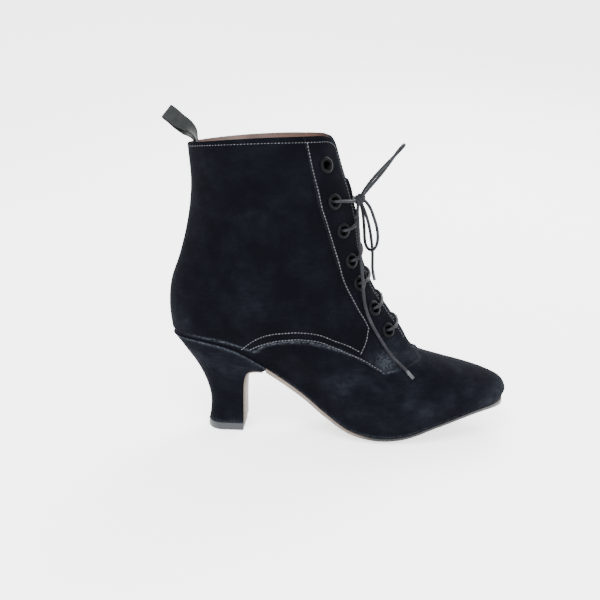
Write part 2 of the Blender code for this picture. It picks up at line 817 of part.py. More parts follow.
def eyelet_frame(side, x, z):
    """Centre on the facing's face, and the outward axis with two directions across it."""
    angle, rise = locate(side, x, z)
    axis = upper_normal(side, angle, rise)
    centre = upper_base(side, angle, rise) + axis * (QUARTER_STEP + FACING_STEP)
    level = np.cross(axis, (0.0, 0.0, 1.0))
    level = level / np.linalg.norm(level)
    return centre, axis, level, np.cross(axis, level)


def turned_ring(profile, centre, axis, level, upright):
    """Closed ring turned from (radius, height) points about an axis."""
    points = []
    for i in range(EYELET_SIDES):
        turn = 2 * math.pi * i / EYELET_SIDES
        outward = level * math.cos(turn) + upright * math.sin(turn)
        for radius, height in profile:
            points.append(centre + outward * radius + axis * height)
    count = len(profile)
    faces = []
    for i in range(EYELET_SIDES):
        j = (i + 1) % EYELET_SIDES
        for k in range(count):
            n = (k + 1) % count
            faces.append((i * count + k, j * count + k, j * count + n, i * count + n))
    return points, faces


def cylinder_cutters(name, radius):
    """One helper mesh with a cylinder through the facing at every eyelet."""
    points = []
    faces = []
    for _, side in SIDES:
        for x, z in EYELETS:
            centre, axis, level, upright = eyelet_frame(side, x, z)
            start = len(points)
            for height in (-0.0060, 0.0040):
                for i in range(EYELET_SIDES):
                    turn = 2 * math.pi * i / EYELET_SIDES
                    outward = level * math.cos(turn) + upright * math.sin(turn)
                    points.append(centre + outward * radius + axis * height)
            low = list(range(start, start + EYELET_SIDES))
            high = list(range(start + EYELET_SIDES, start + 2 * EYELET_SIDES))
            faces.append(tuple(low))
            faces.append(tuple(high))
            for i in range(EYELET_SIDES):
                j = (i + 1) % EYELET_SIDES
                faces.append((low[i], low[j], high[j], high[i]))
    return helper(name, closed_mesh(name, points, faces))


def make_eyelets():
    """A flange on the face and a short barrel down into the hole."""
    depth = QUARTER_STEP + FACING_STEP + WALL
    profile = (
        (EYELET_HOLE, -depth),
        (EYELET_HOLE, 0.0004 + EYELET_RISE * 0.6),
        (EYELET_HOLE + 0.0009, 0.0004 + EYELET_RISE),
        (EYELET_FLANGE - 0.0007, 0.0004 + EYELET_RISE * 0.8),
        (EYELET_FLANGE, 0.0004),
        (EYELET_BARREL, 0.0004),
        (EYELET_BARREL, -depth),
    )
    for side_name, side in SIDES:
        for number, (x, z) in enumerate(EYELETS, start=1):
            name = f"eyelet_{side_name}_{number}"
            points, faces = turned_ring(profile, *eyelet_frame(side, x, z))
            mesh = closed_mesh(name, points, faces)
            new_object(name, mesh, (0.03, 0.035, 0.04), 0.35, metallic=0.8)


def make_pull_loop():
    """Folded ribbon whose width turns from across the seam to face the side."""
    sewn = [(x, z, turn) for x, z, turn in PULL_LOOP]
    run = np.array([(x, z) for x, z, _ in sewn])
    curve = side_curve(run)
    turns = smooth_table(chord_shares(run), [row[2] for row in sewn])
    path = []
    for share in np.linspace(0.0, 1.0, 12):
        here = curve(share)
        ahead = curve(min(share + 0.02, 1.0)) - curve(max(share - 0.02, 0.0))
        ahead = ahead / np.linalg.norm(ahead)
        path.append((here, ahead, float(turns(share)[0])))
    centres = []
    for sign, order in ((1.0, path), (-1.0, path[::-1])):
        for here, ahead, turn in order:
            centres.append((here, ahead, turn, sign))
    fold_at, fold_ahead, fold_turn, _ = centres[len(path) - 1]
    for i in range(1, 5):
        bend = math.pi * i / 5
        centres.insert(len(path) - 1 + i, (fold_at, fold_ahead, fold_turn, bend))
    points = []
    for here, ahead, turn, place in centres:
        swing = math.radians(turn)
        forward = np.array([ahead[0], 0.0, ahead[1]])
        flat = np.array([ahead[1], 0.0, -ahead[0]])
        face = flat * math.cos(swing) + np.array([0.0, -1.0, 0.0]) * math.sin(swing)
        wide = np.cross(forward, face)
        gap = PULL_FOLD * min(1.0, 0.35 + 0.65 * swing)
        if abs(place) == 1.0:
            out = face * place
            middle = np.array([here[0], 0.0, here[1]]) + face * gap * place
        else:
            out = face * math.cos(place) + forward * math.sin(place)
            middle = np.array([here[0], 0.0, here[1]]) + out * gap
        for lift in (PULL_THICKNESS / 2, -PULL_THICKNESS / 2):
            for edge in (-0.5, 0.5):
                points.append(middle + out * lift + wide * edge * PULL_WIDTH)
    faces = []
    for row in range(len(centres) - 1):
        a = row * 4
        b = a + 4
        for first, second in ((0, 1), (1, 3), (3, 2), (2, 0)):
            faces.append((a + first, a + second, b + second, b + first))
    last = 4 * (len(centres) - 1)
    faces.append((0, 1, 3, 2))
    faces.append((last, last + 2, last + 3, last + 1))
    mesh = closed_mesh("pull_loop", points, faces)
    return new_object("pull_loop", mesh, (0.05, 0.055, 0.055), 0.8)


def throat_point(side, across, rise, lift):
    """A point over the throat: across is half width towards the side, and below zero is on the other side."""
    side = side if across >= 0 else -side
    angle = angle_at_half_width(side, np.asarray(abs(across)), np.asarray(rise))
    return upper_surface(side, angle, rise, lift)


def eyelet_place(side, number):
    """Half width and rise of an eyelet's centre."""
    x, z = EYELETS[number]
    angle, rise = locate(side, x, z)
    place = upper_base(side, angle, rise)
    return abs(place[1] - middle_line(place[0])), rise


def tube_mesh(name, route, count, radius, sides):
    """Closed tube along a smooth curve through the route."""
    curve = side_curve(route)
    line = curve(np.linspace(0.0, 1.0, count))
    ahead = np.gradient(line, axis=0)
    ahead = ahead / np.linalg.norm(ahead, axis=1, keepdims=True)
    level = np.cross(ahead[0], (0.31, 0.17, 0.94))
    points = []
    for here, forward in zip(line, ahead):
        level = level - forward * np.dot(level, forward)
        level = level / np.linalg.norm(level)
        upright = np.cross(forward, level)
        for i in range(sides):
            turn = 2 * math.pi * i / sides
            points.append(here + (level * math.cos(turn) + upright * math.sin(turn)) * radius)
    faces = [tuple(range(sides)), tuple(range(sides * (count - 1), sides * count))]
    for row in range(count - 1):
        for i in range(sides):
            j = (i + 1) % sides
            first = row * sides
            faces.append((first + i, first + j, first + j + sides, first + i + sides))
    return closed_mesh(name, points, faces)


def helper(name, mesh):
    """An object that only cuts or joins another."""
    item = bpy.data.objects.new(name, mesh)
    bpy.context.scene.collection.objects.link(item)
    item.hide_render = True
    item.display_type = "WIRE"
    return item


def join_solid(item, other):
    join = item.modifiers.new("join", "BOOLEAN")
    join.operation = "UNION"
    join.object = other


def crossing_route(side, low, high, stagger):
    """From over one eyelet, across the gap, to the edge of the other facing beside the eyelet above."""
    start, low_rise = eyelet_place(side, low)
    end, high_rise = eyelet_place(-side, high)

    def rise_at(across):
        return low_rise + (start - across) / (start + end) * (high_rise - low_rise)

    edge = float(half_gap(rise_at(0.0)))
    rows = (
        (start, OVER_EYELET),
        (start - 0.5 * EYELET_REACH, OVER_EYELET),
        (edge + EDGE_MARGIN, OVER_FACING),
        (0.3 * edge, OVER_GAP + stagger),
        (-0.4 * edge, OVER_GAP - 0.0012 + stagger),
        (-(edge - EDGE_MARGIN), UNDER_FACING),
    )
    return [throat_point(side, across, rise_at(across), lift) for across, lift in rows]


def lace_object(name, mesh):
    return new_object(name, mesh, LACE_COLOUR, LACE_ROUGHNESS)


def make_crossings():
    """Each crossing is two runs that meet in the middle of the gap, joined as one solid."""
    radius = LACE_DIAMETER / 2
    for low, high in zip(LACED_EYELETS[:0:-1], LACED_EYELETS[-2::-1]):
        name = f"lace_crossing_{low + 1}"
        near = tube_mesh(name, crossing_route(LATERAL, low, high, LACE_STAGGER), 7, radius, LACE_SIDES)
        far = tube_mesh(name, crossing_route(MEDIAL, low, high, -LACE_STAGGER), 7, radius, LACE_SIDES)
        join_solid(lace_object(name, near), helper(f"{name}_far", far))


def make_lace_top():
    """The two runs from the highest laced eyelets to the back of the knot."""
    name = "lace_top"
    meshes = []
    for side in (LATERAL, MEDIAL):
        start, rise = eyelet_place(side, LACED_EYELETS[0])
        edge = float(half_gap(rise))
        rows = (
            (start, OVER_EYELET),
            (start - 0.5 * EYELET_REACH, OVER_EYELET),
            (start - EYELET_REACH, OVER_FACING + 0.0003),
            (edge, OVER_FACING),
        )
        route = [throat_point(side, across, rise, lift) for across, lift in rows]
        route.append(np.array(KNOT_BACK))
        meshes.append(tube_mesh(name, route, 8, LACE_DIAMETER / 2, LACE_SIDES))
    join_solid(lace_object(name, meshes[0]), helper("lace_top_far", meshes[1]))


def make_lace_bar():
    """The straight run under the lowest crossing, seen only in the gap."""
    rise = 0.5 * (eyelet_place(LATERAL, 6)[1] + eyelet_place(MEDIAL, 6)[1])
    edge = float(half_gap(rise)) - 0.0008
    places = np.linspace(-edge, edge, 5)
    route = [throat_point(MEDIAL, across, rise, UNDER_FACING) for across in places]
    lace_object("lace_bar", tube_mesh("lace_bar", route, 4, LACE_DIAMETER / 2, LACE_SIDES))


def make_lace_knot():
    """A small rounded solid the size of the tied knot."""
    shape = bmesh.new()
    bmesh.ops.create_uvsphere(shape, u_segments=10, v_segments=6, radius=1.0)
    for vert in shape.verts:
        vert.co = [middle + part * size for middle, part, size in zip(KNOT_CENTRE, vert.co, KNOT_RADII)]
    mesh = bpy.data.meshes.new("lace_knot")
    shape.to_mesh(mesh)
    shape.free()
    lace_object("lace_knot", mesh)


def make_cord(name, route, count):
    """A round cord on a smooth curve through its route."""
    curve = bpy.data.curves.new(name, "CURVE")
    curve.dimensions = "3D"
    curve.bevel_depth = LACE_DIAMETER / 2
    curve.bevel_resolution = 2
    curve.use_fill_caps = True
    spline = curve.splines.new("POLY")
    spline.points.add(count - 1)
    for point, place in zip(spline.points, side_curve(route)(np.linspace(0.0, 1.0, count))):
        point.co = (*place, 1.0)
    curve.materials.append(new_material(name, LACE_COLOUR, LACE_ROUGHNESS))
    cord = bpy.data.objects.new(name, curve)
    bpy.context.scene.collection.objects.link(cord)


def make_laces():
    make_crossings()
    make_lace_top()
    make_lace_bar()
    make_lace_knot()
    for name, route, count in CORDS:
        make_cord(name, route, count)


def clear_scene():
    for item in list(bpy.data.objects):
        bpy.data.objects.remove(item, do_unlink=True)


def main():
    clear_scene()
    make_upper()
    make_outsole()
    make_insole()
    make_heel()
    make_heel_breast()
    make_top_lift()
    make_tongue()
    make_eyelets()
    make_pull_loop()
    make_laces()


if __name__ == "__main__":
    main()
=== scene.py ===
"""Looks of a velvet lace up boot for the right foot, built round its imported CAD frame.

Metres, +Z up, +X to the toe, -Y the lateral side. The upper is placed by the same function as the CAD's: a
ring's rise is 0 at the sole line and 1 at the collar, its angle is 0 at the back seam and pi at the ridge.
"""

import math

import bpy
import numpy as np
from mathutils import Matrix, Vector


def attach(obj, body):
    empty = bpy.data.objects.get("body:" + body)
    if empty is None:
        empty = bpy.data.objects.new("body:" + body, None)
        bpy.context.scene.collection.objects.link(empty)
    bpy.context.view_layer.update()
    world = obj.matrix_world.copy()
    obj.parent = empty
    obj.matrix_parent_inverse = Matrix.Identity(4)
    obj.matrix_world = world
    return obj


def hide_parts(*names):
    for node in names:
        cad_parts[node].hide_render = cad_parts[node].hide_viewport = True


bl_info = {
    "name": "Velvet lace up boot",
    "version": (1, 0, 0),
    "blender": (4, 5, 0),
    "location": "View3D > Sidebar > Boot",
    "description": "Dresses the boot's frame in velvet, leather, metal and cord",
    "category": "Object",
}

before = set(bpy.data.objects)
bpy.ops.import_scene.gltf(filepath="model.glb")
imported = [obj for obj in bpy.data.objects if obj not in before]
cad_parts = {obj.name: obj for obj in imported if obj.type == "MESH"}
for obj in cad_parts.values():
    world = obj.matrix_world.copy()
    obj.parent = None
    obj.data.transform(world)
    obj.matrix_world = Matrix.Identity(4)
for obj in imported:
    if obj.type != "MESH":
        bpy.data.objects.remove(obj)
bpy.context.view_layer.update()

LATERAL = -1.0
MEDIAL = 1.0
SIDES = (("lateral", LATERAL), ("medial", MEDIAL))
BODY = "root"

# Driving sizes, as in the part's source
BOOT_LENGTH = 0.2520
HEEL_BACK_X = -0.0417
HEEL_HEIGHT = 0.0735
COLLAR_HEIGHT = 0.2125
INSTEP_HEIGHT = 0.0640
BALL_WIDTH = 0.0760
TOE_SPRING = 0.0253
WALL = 0.0018
QUARTER_STEP = 0.0008
FACING_STEP = 0.0006
FACE = QUARTER_STEP + FACING_STEP
STEP_SHARE = 0.0004 / 0.12
CLEARANCE = 0.0003
SOLE_THICKNESS = 0.0030
TONGUE_THICKNESS = 0.0016
LIFT_THICKNESS = 0.0055

# Sole line: share of the boot's length from the back, height of the upper's lower rim
SOLE_LINE = (
    ("seat back", 0.009, 0.0735),
    ("seat", 0.100, 0.0722),
    ("seat front", 0.205, 0.0652),
    ("breast", 0.300, 0.0520),
    ("waist", 0.390, 0.0364),
    ("waist low", 0.465, 0.0210),
    ("tread back", 0.535, 0.0092),
    ("ball", 0.600, 0.0052),
    ("tread front", 0.680, 0.0061),
    ("toe rise", 0.790, 0.0155),
    ("toe spring", 0.900, 0.0230),
    ("toe", 0.989, TOE_SPRING),
)

# Back seam: along as a share of the length, up as a share of the way from the seat to the collar
BACK_SEAM = (
    ("seat", 0.009, 0.000),
    ("swell", 0.000, 0.145),
    ("heel top", 0.006, 0.280),
    ("hollow", 0.032, 0.420),
    ("ankle", 0.053, 0.565),
    ("slim", 0.069, 0.790),
    ("collar", 0.061, 1.000),
)

# Front ridge: share of the length, height
FRONT_RIDGE = (
    ("toe", 0.989, TOE_SPRING),
    ("toe tip", 1.000, 0.0315),
    ("toe top", 0.990, 0.0382),
    ("toe back", 0.951, 0.0445),
    ("vamp low", 0.902, 0.0493),
    ("vamp", 0.831, 0.0544),
    ("vamp high", 0.761, 0.0593),
    ("throat", 0.713, INSTEP_HEIGHT),
    ("tongue root", 0.685, 0.0755),
    ("instep", 0.636, 0.0935),
    ("instep high", 0.592, 0.1100),
    ("bend", 0.566, 0.1245),
    ("shin low", 0.547, 0.1400),
    ("shin", 0.536, 0.1590),
    ("shin high", 0.517, 0.1780),
    ("collar low", 0.492, 0.1970),
    ("collar", 0.466, 0.2190),
)
COLLAR_ARCH = 0.0018

# Half widths as shares of half the ball width, at four places along each ring
STATIONS = (0.10, 0.40, 0.70, 0.92)
LATERAL_WIDTHS = (
    # rise, heel, waist, ball, toe
    (0.00, 0.66, 0.66, 0.91, 0.88),
    (0.06, 0.72, 0.73, 1.00, 0.97),
    (0.16, 0.77, 0.80, 1.00, 0.97),
    (0.34, 0.78, 0.86, 0.97, 0.97),
    (0.55, 0.77, 0.82, 0.86, 0.86),
    (0.80, 0.83, 0.86, 0.86, 0.86),
    (1.00, 0.88, 0.90, 0.88, 0.88),
)
MEDIAL_WIDTHS = (
    # rise, heel, waist, ball, toe
    (0.00, 0.64, 0.50, 0.91, 0.88),
    (0.06, 0.70, 0.60, 1.00, 0.97),
    (0.16, 0.75, 0.74, 1.00, 0.97),
    (0.34, 0.77, 0.83, 0.97, 0.97),
    (0.55, 0.76, 0.80, 0.86, 0.86),
    (0.80, 0.81, 0.84, 0.86, 0.86),
    (1.00, 0.85, 0.88, 0.88, 0.88),
)

# How far each ring's round ends reach: back end, front end
END_REACH = (
    # rise, back, front
    (0.00, 0.030, 0.066),
    (0.06, 0.031, 0.072),
    (0.16, 0.033, 0.098),
    (0.26, 0.034, 0.125),
    (0.34, 0.035, 0.125),
    (0.45, 0.036, 0.085),
    (0.60, 0.038, 0.058),
    (1.00, 0.046, 0.044),
)
SWING_START = 0.060
SWING_TOE = 0.013

# Gap between the facings: share of the way from throat to collar, half the gap
FACING_GAP = (
    (0.00, 0.0050),
    (0.40, 0.0062),
    (0.75, 0.0066),
    (1.00, 0.0060),
)
THROAT_ROUND = 0.06
CORNER_RISE = 0.045
CORNER_BACK = 0.0125

# Lower edge of the quarter over the vamp, side view: along, up
QUARTER_EDGE = (
    (0.0205, 0.0665),
    (0.0300, 0.0715),
    (0.0410, 0.0748),
    (0.0540, 0.0762),
    (0.0680, 0.0750),
    (0.0820, 0.0708),
    (0.0950, 0.0647),
    (0.1070, 0.0580),
    (0.1160, 0.0530),
)
QUARTER_LOW = 0.022

# Back edge of the eyelet facing, side view: along, up
FACING_EDGE = (
    (0.0970, 0.0640),
    (0.1015, 0.0770),
    (0.1020, 0.0870),
    (0.0950, 0.0995),
    (0.0870, 0.1135),
    (0.0810, 0.1290),
    (0.0760, 0.1440),
    (0.0715, 0.1590),
    (0.0670, 0.1730),
    (0.0632, 0.1886),
    (0.0590, 0.2060),
    (0.0565, 0.2160),
)

# Eyelet centres, side view, from the top down: along, up
EYELETS = (
    (0.0713, 0.1994),
    (0.0775, 0.1747),
    (0.0838, 0.1544),
    (0.0899, 0.1324),
    (0.0963, 0.1159),
    (0.1075, 0.0975),
    (0.1180, 0.0812),
)
EYELET_HOLE = 0.0031
EYELET_FLANGE = 0.0057
EYELET_CUT = 0.0042

# Heel block, one row for each loop: back and front edge (along, up), share of the top loop's width
HEEL_LOOPS = (
    # back x, back z, front x, front z, width
    (-0.0139, 0.0058, 0.0131, 0.0058, 0.58),
    (-0.0128, 0.0130, 0.0131, 0.0130, 0.56),
    (-0.0127, 0.0228, 0.0131, 0.0228, 0.55),
    (-0.0148, 0.0324, 0.0133, 0.0320, 0.59),
    (-0.0185, 0.0420, 0.0142, 0.0405, 0.66),
    (-0.0236, 0.0514, 0.0170, 0.0468, 0.75),
    (-0.0303, 0.0607, 0.0230, 0.0493, 0.86),
    (-0.0355, 0.0680, 0.0285, 0.0500, 0.95),
)
SOLE_SPREAD = 0.0009
SOLE_TUCK = 0.0015
BREAST_THICKNESS = 0.0012
BREAST_MARGIN = 0.0014
LIFT_MARGIN = 0.0004

# Half width of the tongue, how far it runs as rises of the rings, and its depth mid gap and under a facing
TONGUE_HALF = 0.0200
TONGUE_LOW = 0.300
TONGUE_HIGH = 0.975
TONGUE_DEPTH = 0.0031
TONGUE_TUCK = 0.0014
EDGE_FADE = 6
LINING_RAMP = 0.008
SLUMP_TOP = 0.1915
SLUMP_FOOT = 0.1560
SLUMP_OUT = 0.0050
SLUMP_TOP_RUN = 0.0040
SLUMP_FOOT_RUN = 0.0100
SLUMP_HALF = 0.0048

# Pull loop, middle of the ribbon from the sewn end round the fold and back: along, up, turn about its run
PULL_LOOP = (
    (-0.0204, 0.2010, 0),
    (-0.0209, 0.2080, 0),
    (-0.0217, 0.2146, 0),
    (-0.0240, 0.2192, 20),
    (-0.0280, 0.2232, 45),
    (-0.0326, 0.2268, 62),
    (-0.0366, 0.2303, 65),
)
PULL_END = (-0.0392, 0.2322, 66)
PULL_LEAN = 0.0011
PULL_FOLD = 0.0022
PULL_WIDTH = 0.0110
PULL_THICKNESS = 0.0009

# Free runs of the lace: along, across, up
KNOT_CENTRE = (0.0957, -0.0045, 0.1746)
KNOT_BACK = (0.0902, -0.0040, 0.1748)
KNOT_AXIS = (0.80, 0.15, 0.58)
KNOT_WRAP = 0.0025
KNOT_REACH = 0.0052
KNOT_TURNS = 2.6
LOOP_UP = (
    (0.0972, -0.0075, 0.1784),
    (0.0984, -0.0096, 0.1810),
    (0.1016, -0.0110, 0.1862),
    (0.1082, -0.0116, 0.1945),
    (0.1155, -0.0116, 0.2025),
    (0.1218, -0.0113, 0.2091),
    (0.1247, -0.0095, 0.2123),
    (0.1259, -0.0052, 0.2136),
    (0.1247, -0.0009, 0.2123),
    (0.1220, 0.0009, 0.2088),
    (0.1170, 0.0010, 0.2012),
    (0.1110, 0.0006, 0.1928),
    (0.1044, -0.0004, 0.1847),
    (0.1008, -0.0016, 0.1804),
    (0.0986, -0.0029, 0.1779),
)
LOOP_DOWN = (
    (0.1000, -0.0053, 0.1732),
    (0.1024, -0.0057, 0.1708),
    (0.1054, -0.0060, 0.1640),
    (0.1084, -0.0062, 0.1555),
    (0.1096, -0.0059, 0.1475),
    (0.1091, -0.0053, 0.1425),
    (0.1077, -0.0038, 0.1389),
    (0.1048, -0.0004, 0.1370),
    (0.1018, 0.0032, 0.1386),
    (0.1004, 0.0048, 0.1430),
    (0.1000, 0.0052, 0.1500),
    (0.0992, 0.0048, 0.1580),
    (0.0980, 0.0030, 0.1660),
    (0.0965, -0.0009, 0.1710),
)
END_NEAR = (
    (0.0946, -0.0079, 0.1709),
    (0.0944, -0.0110, 0.1676),
    (0.0949, -0.0146, 0.1615),
    (0.0955, -0.0164, 0.1540),
    (0.0966, -0.0172, 0.1440),
    (0.0980, -0.0188, 0.1320),
    (0.0993, -0.0216, 0.1205),
    (0.1001, -0.0234, 0.1105),
    (0.1016, -0.0244, 0.1022),
    (0.1042, -0.0248, 0.0943),
    (0.1077, -0.0238, 0.0866),
    (0.1122, -0.0226, 0.0790),
    (0.1170, -0.0216, 0.0711),
    (0.1224, -0.0223, 0.0638),
    (0.1298, -0.0243, 0.0574),
    (0.1377, -0.0267, 0.0497),
)
END_FAR = (
    (0.0978, -0.0047, 0.1702),
    (0.0994, -0.0046, 0.1668),
    (0.1018, -0.0032, 0.1600),
    (0.1038, -0.0004, 0.1520),
    (0.1052, 0.0040, 0.1440),
    (0.1064, 0.0088, 0.1350),
    (0.1068, 0.0132, 0.1270),
    (0.1072, 0.0170, 0.1190),
    (0.1090, 0.0194, 0.1110),
)

# Stitched rows, side view: along, up
FACING_ROW = (
    (0.0581, 0.2165),
    (0.0604, 0.2061),
    (0.0649, 0.1885),
    (0.0688, 0.1733),
    (0.0733, 0.1594),
    (0.0780, 0.1439),
    (0.0820, 0.1310),
    (0.0849, 0.1210),
    (0.0912, 0.1076),
    (0.0963, 0.0984),
    (0.1008, 0.0913),
    (0.1036, 0.0860),
    (0.1034, 0.0807),
    (0.1027, 0.0759),
    (0.1011, 0.0712),
    (0.0984, 0.0647),
)
QUARTER_ROW_HIGH = (
    (0.0135, 0.0673),
    (0.0198, 0.0728),
    (0.0258, 0.0770),
    (0.0339, 0.0806),
    (0.0414, 0.0820),
    (0.0492, 0.0829),
    (0.0595, 0.0832),
    (0.0695, 0.0819),
    (0.0802, 0.0775),
    (0.0909, 0.0729),
    (0.0990, 0.0681),
)
QUARTER_ROW_LOW = (
    (0.0202, 0.0680),
    (0.0258, 0.0712),
    (0.0337, 0.0745),
    (0.0413, 0.0767),
    (0.0492, 0.0777),
    (0.0599, 0.0781),
    (0.0699, 0.0768),
    (0.0783, 0.0734),
    (0.0852, 0.0702),
    (0.0964, 0.0646),
    (0.1080, 0.0582),
    (0.1150, 0.0540),
)
EDGE_ROW_INSET = 0.0026
ROW_TOP = 0.985

# Creases of the velvet: side, depth, half width, then its run in the side view
CREASES = (
    (LATERAL, 0.00045, 0.0040, ((0.112, 0.046), (0.120, 0.036), (0.131, 0.026))),
    (LATERAL, 0.00050, 0.0038, ((0.126, 0.050), (0.135, 0.040), (0.146, 0.031))),
    (LATERAL, 0.00035, 0.0035, ((0.142, 0.050), (0.149, 0.042), (0.157, 0.036))),
    (LATERAL, 0.00055, 0.0026, ((0.133, 0.064), (0.139, 0.060), (0.147, 0.057))),
    (LATERAL, 0.00045, 0.0050, ((-0.022, 0.130), (-0.008, 0.126), (0.010, 0.128))),
    (LATERAL, 0.00040, 0.0060, ((-0.020, 0.146), (0.000, 0.140), (0.022, 0.143))),
    (LATERAL, 0.00045, 0.0085, ((0.030, 0.205), (0.036, 0.165), (0.048, 0.120))),
    (LATERAL, 0.00035, 0.0070, ((0.000, 0.200), (0.004, 0.165), (0.002, 0.135))),
    (LATERAL, 0.00040, 0.0055, ((0.052, 0.104), (0.066, 0.098), (0.082, 0.100))),
    (LATERAL, 0.00035, 0.0050, ((-0.030, 0.098), (-0.012, 0.094), (0.008, 0.098))),
    (MEDIAL, 0.00050, 0.0042, ((0.110, 0.048), (0.119, 0.038), (0.128, 0.027))),
    (MEDIAL, 0.00045, 0.0038, ((0.126, 0.052), (0.136, 0.042), (0.147, 0.032))),
    (MEDIAL, 0.00050, 0.0055, ((-0.020, 0.138), (0.000, 0.132), (0.020, 0.136))),
    (MEDIAL, 0.00045, 0.0085, ((0.024, 0.205), (0.032, 0.160), (0.044, 0.118))),
    (MEDIAL, 0.00040, 0.0060, ((0.046, 0.106), (0.062, 0.099), (0.080, 0.102))),
)

# Places where the pile is brushed lighter: side, along, up, radius, strength
BRUSHED = (
    (LATERAL, 0.084, 0.044, 0.010, 0.70),
    (LATERAL, 0.092, 0.050, 0.008, 0.45),
    (LATERAL, 0.150, 0.024, 0.011, 0.60),
    (LATERAL, 0.137, 0.032, 0.008, 0.35),
    (LATERAL, 0.204, 0.035, 0.007, 0.80),
    (LATERAL, 0.195, 0.030, 0.009, 0.60),
    (LATERAL, 0.180, 0.041, 0.008, 0.45),
    (LATERAL, 0.164, 0.034, 0.009, 0.40),
    (LATERAL, 0.136, 0.064, 0.008, 0.50),
    (LATERAL, 0.021, 0.112, 0.010, 0.22),
    (LATERAL, -0.030, 0.088, 0.008, 0.30),
    (MEDIAL, 0.090, 0.044, 0.011, 0.55),
    (MEDIAL, 0.150, 0.026, 0.011, 0.55),
    (MEDIAL, 0.198, 0.032, 0.009, 0.60),
    (MEDIAL, 0.172, 0.040, 0.009, 0.40),
    (MEDIAL, 0.030, 0.110, 0.012, 0.22),
)

# Density of the upper's grid
VAMP_ROWS = 46
QUARTER_ROWS = 108
STEP_ROWS = (0.0042, 0.0075, 0.0115)
FIRST_PLAIN_ROW = 0.017
BACK_COLUMNS = 80
FRONT_COLUMNS = 34

# Camera, from the photograph's view: place, look down, turn to the right, roll
CAMERA_PLACE = (0.0887, -0.6000, 0.2517)
CAMERA_DOWN = math.radians(14.29)
CAMERA_TURN = math.radians(3.30)
CAMERA_ROLL = math.radians(0.75)
PICTURE_SIDE = 600
FOCAL_PIXELS = 840
SENSOR = 36.0


class BootLook(bpy.types.PropertyGroup):
    """Colours and sizes that change the boot's finish."""

    velvet_colour: bpy.props.FloatVectorProperty(
        name="Velvet", description="Colour of the velvet's pile", subtype="COLOR", size=3,
        default=(0.0012, 0.0014, 0.0024), min=0.0, max=1.0,
    )
    brushed_colour: bpy.props.FloatVectorProperty(
        name="Brushed velvet", description="Colour where the pile is brushed back", subtype="COLOR", size=3,
        default=(0.0105, 0.0120, 0.0168), min=0.0, max=1.0,
    )
    thread_colour: bpy.props.FloatVectorProperty(
        name="Thread", description="Colour of the stitches", subtype="COLOR", size=3,
        default=(0.074, 0.078, 0.090), min=0.0, max=1.0,
    )
    lace_colour: bpy.props.FloatVectorProperty(
        name="Lace", description="Colour of the cord", subtype="COLOR", size=3,
        default=(0.0058, 0.0062, 0.0080), min=0.0, max=1.0,
    )
    leather_colour: bpy.props.FloatVectorProperty(
        name="Sole leather", description="Colour of the sole and the heel's front", subtype="COLOR", size=3,
        default=(0.125, 0.098, 0.080), min=0.0, max=1.0,
    )
    lining_colour: bpy.props.FloatVectorProperty(
        name="Lining", description="Colour of the lining", subtype="COLOR", size=3,
        default=(0.055, 0.031, 0.024), min=0.0, max=1.0,
    )
    ribbon_colour: bpy.props.FloatVectorProperty(
        name="Ribbon", description="Colour of the pull loop", subtype="COLOR", size=3,
        default=(0.0105, 0.0118, 0.0118), min=0.0, max=1.0,
    )
    lace_diameter: bpy.props.FloatProperty(
        name="Lace thickness", description="Diameter of the cord", default=0.0023, min=0.0015, max=0.0025,
        subtype="DISTANCE", unit="LENGTH",
    )
    stitch_pitch: bpy.props.FloatProperty(
        name="Stitch pitch", description="Distance from one stitch to the next", default=0.0023,
        min=0.0015, max=0.0040, subtype="DISTANCE", unit="LENGTH",
    )
    stitch_width: bpy.props.FloatProperty(
        name="Thread width", description="Width of one stitch", default=0.00070, min=0.0003, max=0.0010,
        subtype="DISTANCE", unit="LENGTH",
    )
    floor_tone: bpy.props.FloatProperty(
        name="Floor", description="How pale the floor is", default=0.86, min=0.0, max=1.0, subtype="FACTOR",
    )
    floor_glow: bpy.props.FloatProperty(
        name="Floor glow", description="Light that the white floor gives off", default=1.6, min=0.0, max=5.0,
    )
    key_power: bpy.props.FloatProperty(
        name="Key light", description="Power of the large soft light", default=60.0, min=0.0, max=500.0,
        subtype="POWER", unit="POWER",
    )


def look():
    return bpy.context.scene.boot_look


# The last's function


def smooth_table(keys, values, level=False):
    """A smooth curve through the rows of a table, read at any key; a level one never swings past its rows."""
    keys = np.asarray(keys, float)
    values = np.asarray(values, float).reshape(len(keys), -1)
    gaps = np.diff(keys)[:, None]
    rates = np.diff(values, axis=0) / gaps
    slopes = np.vstack([rates[:1], rates, rates[-1:]])[:-1]
    slopes[1:-1] = (gaps[1:] * rates[:-1] + gaps[:-1] * rates[1:]) / (gaps[1:] + gaps[:-1])
    slopes[-1] = rates[-1]
    if level:
        low = np.minimum(np.abs(rates[:-1]), np.abs(rates[1:]))
        same = rates[:-1] * rates[1:] > 0
        slopes[1:-1] = np.where(same, np.clip(slopes[1:-1], -2 * low, 2 * low), 0.0)

    def read(at):
        at = np.clip(np.asarray(at, float), keys[0], keys[-1])
        row = np.clip(np.searchsorted(keys, at, side="right") - 1, 0, len(keys) - 2)
        gap = keys[row + 1] - keys[row]
        t = ((at - keys[row]) / gap)[..., None]
        low = values[row] * (1 + 2 * t) * (1 - t) ** 2
        high = values[row + 1] * t * t * (3 - 2 * t)
        lean = slopes[row] * t * (1 - t) ** 2 + slopes[row + 1] * t * t * (t - 1)
        return low + high + lean * gap[..., None]

    return read


def chord_shares(points):
    steps = np.linalg.norm(np.diff(np.asarray(points, float), axis=0), axis=1)
    run = np.concatenate([[0.0], np.cumsum(steps)])
    return run / run[-1]


def along(share):
    return HEEL_BACK_X + share * BOOT_LENGTH


def ease(t):
    t = np.clip(t, 0.0, 1.0)
    return t * t * (3 - 2 * t)


